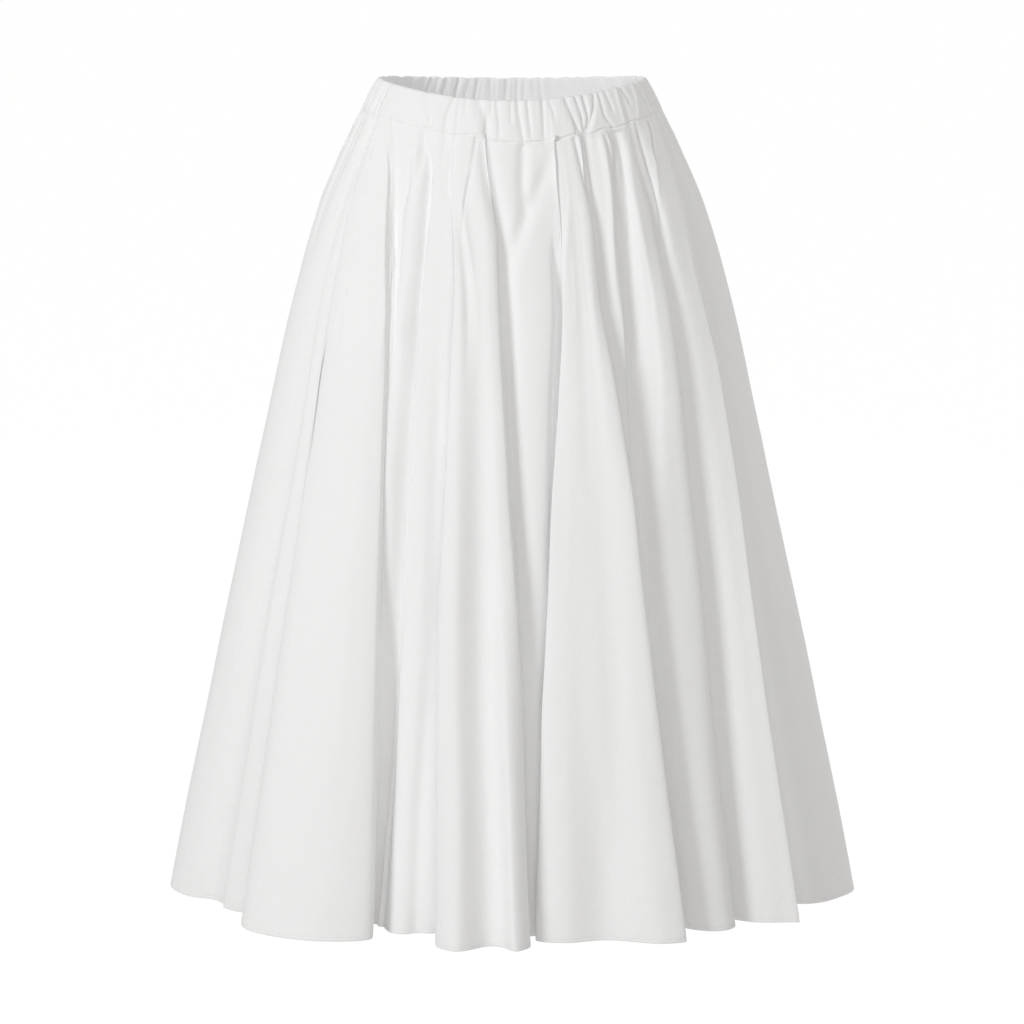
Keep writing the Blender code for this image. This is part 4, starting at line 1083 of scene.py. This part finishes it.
def cotton_material(name):
    """Plain-weave white cotton: crossed threads, thicker slubs along both, soft crumples and a matt nap."""
    material, tree, shader = new_material(name, COTTON_FINISH)
    link = tree.links.new
    where = add_node(tree, "TexCoord", (-1500, 0)).outputs["UV"]

    def cloud(at, scale, detail):
        stretch = add_node(tree, "Mapping", (-1280, at), {"Scale": scale})
        inputs = {"Scale": 1.0, "Detail": detail, "Roughness": NOISE_ROUGHNESS}
        texture = add_node(tree, "TexNoise", (-1080, at), inputs)
        link(where, stretch.inputs["Vector"])
        link(stretch.outputs["Vector"], texture.inputs["Vector"])
        return texture.outputs["Fac"]

    def threads(at, direction):
        wave = add_node(tree, "TexWave", (-1080, at), WEAVE, wave_type="BANDS", bands_direction=direction)
        link(where, wave.inputs["Vector"])
        return wave.outputs["Fac"]

    def mixed(a, b, operation, at):
        node = add_node(tree, "Math", at, operation=operation)
        link(a, node.inputs[0])
        if isinstance(b, float):
            node.inputs[1].default_value = b
        else:
            link(b, node.inputs[1])
        return node.outputs[0]

    warp, weft = cloud(500, WARP_SLUBS, SLUB_DETAIL), cloud(250, WEFT_SLUBS, SLUB_DETAIL)
    slubs = mixed(warp, weft, "ADD", (-860, 400))
    clouds = mixed(cloud(0, CLOUDS, CLOUD_DETAIL), CLOUD_SHARE, "MULTIPLY", (-860, 100))
    crumples = cloud(-250, CRUMPLES, CLOUD_DETAIL)
    weave = mixed(threads(-500, "X"), threads(-750, "Y"), "MAXIMUM", (-860, -600))
    shade = mixed(mixed(slubs, clouds, "ADD", (-660, 300)), 0.5, "MULTIPLY", (-560, 300))
    ramp = add_ramp(tree, (-460, 300), COTTON_DARK, COTTON_LIGHT, SHADE_FROM, SHADE_TO)
    link(shade, ramp.inputs["Fac"])
    link(ramp.outputs["Color"], shader.inputs["Base Color"])
    under = None
    for height, (strength, distance), at in zip((weave, slubs, crumples), BUMPS, (-460, -260, -60)):
        bump = add_node(tree, "Bump", (at, -300), {"Strength": strength, "Distance": distance})
        link(height, bump.inputs["Height"])
        if under:
            link(under, bump.inputs["Normal"])
        under = bump.outputs["Normal"]
    link(under, shader.inputs["Normal"])
    return material


def thread_material():
    """Twisted cotton thread, a little darker than the cloth."""
    material, tree, shader = new_material("thread", {"Roughness": THREAD_ROUGHNESS})
    where = add_node(tree, "TexCoord", (-800, 0))
    twist = add_node(tree, "TexNoise", (-600, 0), {"Scale": THREAD_TWIST})
    ramp = add_ramp(tree, (-400, 0), THREAD_DARK, THREAD_LIGHT, 0.0, 1.0)
    tree.links.new(where.outputs["Object"], twist.inputs["Vector"])
    tree.links.new(twist.outputs["Fac"], ramp.inputs["Fac"])
    tree.links.new(ramp.outputs["Color"], shader.inputs["Base Color"])
    return material


def build_skirt():
    """The two panels with the stitches of their hems, and the two halves of the band."""
    rings, samples, along = key_rings()
    last = samples["right_panel", 1.0]
    total = len(rings[0])
    front, back = np.arange(last + 1), np.arange(last, total + 1) % total
    cotton, band_cotton = cotton_material("cotton"), cotton_material("cotton_band")
    thread = thread_material()
    gaps = (LEFT_GAP, RIGHT_GAP)
    for piece in (
        Panel("front_panel", front, FRONT_CREASES, FRONT_EDGES, BAND_GATHERS, gaps, 3.0, FRONT_CUT),
        Panel("back_panel", back, back_creases(), (), back_gathers(), gaps[::-1], 11.0, BACK_CUT),
    ):
        sheet, points, normals = panel(piece, rings, samples, along, cotton)
        hem_line, outs = line_at_height(points, normals, HEM_Z + HEM_STITCH_UP)
        stitches = stitch_row(piece.name + "_hem_stitches", hem_line, outs, thread)
        for part in (sheet, stitches):
            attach(part, BODY)
        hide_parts(piece.name)
    for piece in (
        Band("waistband_front", FRONT, BAND_GATHERS, gaps, 21.0, BAND_CUTS[0]),
        Band("waistband_back", BACK, back_gathers(), gaps[::-1], 33.0, BAND_CUTS[1]),
    ):
        strip = band(piece, rings[0], band_cotton)
        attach(strip, BODY)
        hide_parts(piece.name)


def build_floor():
    """A plain white studio floor that reaches past the view on every side."""
    half = FLOOR_SIZE / 2
    corners = [(x * half, y * half, FLOOR_Z) for x, y in ((-1, -1), (1, -1), (1, 1), (-1, 1))]
    material, _, _ = new_material("floor", {
        "Base Color": FLOOR_GREY, "Roughness": 1.0, "Specular IOR Level": 0.0,
        "Emission Color": WHITE, "Emission Strength": FLOOR_WHITE,
    })
    floor = mesh_object("floor", corners, [(0, 1, 2, 3)], material)
    floor.visible_diffuse = False
    floor.visible_glossy = False


def aimed(name, data, at, aim):
    """An object that stands at one place and points at another."""
    obj = bpy.data.objects.new(name, data)
    obj.location = at
    obj.rotation_euler = (Vector(aim) - Vector(at)).to_track_quat("-Z", "Y").to_euler()
    bpy.context.scene.collection.objects.link(obj)
    return obj


def build_light():
    scene = bpy.context.scene
    scene.world = bpy.data.worlds.new("studio")
    scene.world.use_nodes = True
    background = scene.world.node_tree.nodes["Background"]
    background.inputs["Color"].default_value = WORLD_TINT
    background.inputs["Strength"].default_value = WORLD_LIGHT
    for lamp in LAMPS:
        light = bpy.data.lights.new(lamp.name, "AREA")
        light.energy = lamp.power
        light.shape = "DISK"
        light.size = lamp.size
        light.color = lamp.tint
        aimed(lamp.name, light, lamp.at, lamp.aim).visible_camera = False
    scene.view_settings.view_transform = "Standard"
    scene.cycles.diffuse_bounces = LIGHT_BOUNCES


def build_camera():
    data = bpy.data.cameras.new("camera")
    data.lens = CAMERA_LENS
    data.sensor_width = SENSOR
    data.clip_end = 2 * FLOOR_SIZE
    bpy.context.scene.camera = aimed("camera", data, CAMERA_AT, CAMERA_AIM)


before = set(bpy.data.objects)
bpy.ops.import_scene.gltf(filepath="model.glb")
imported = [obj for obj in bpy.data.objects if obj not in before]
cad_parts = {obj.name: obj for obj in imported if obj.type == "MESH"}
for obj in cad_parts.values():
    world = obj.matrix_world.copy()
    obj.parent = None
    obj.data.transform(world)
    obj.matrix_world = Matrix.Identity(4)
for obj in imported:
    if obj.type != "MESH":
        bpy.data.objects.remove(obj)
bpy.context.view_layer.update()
build_camera()
build_light()
build_floor()
build_skirt()
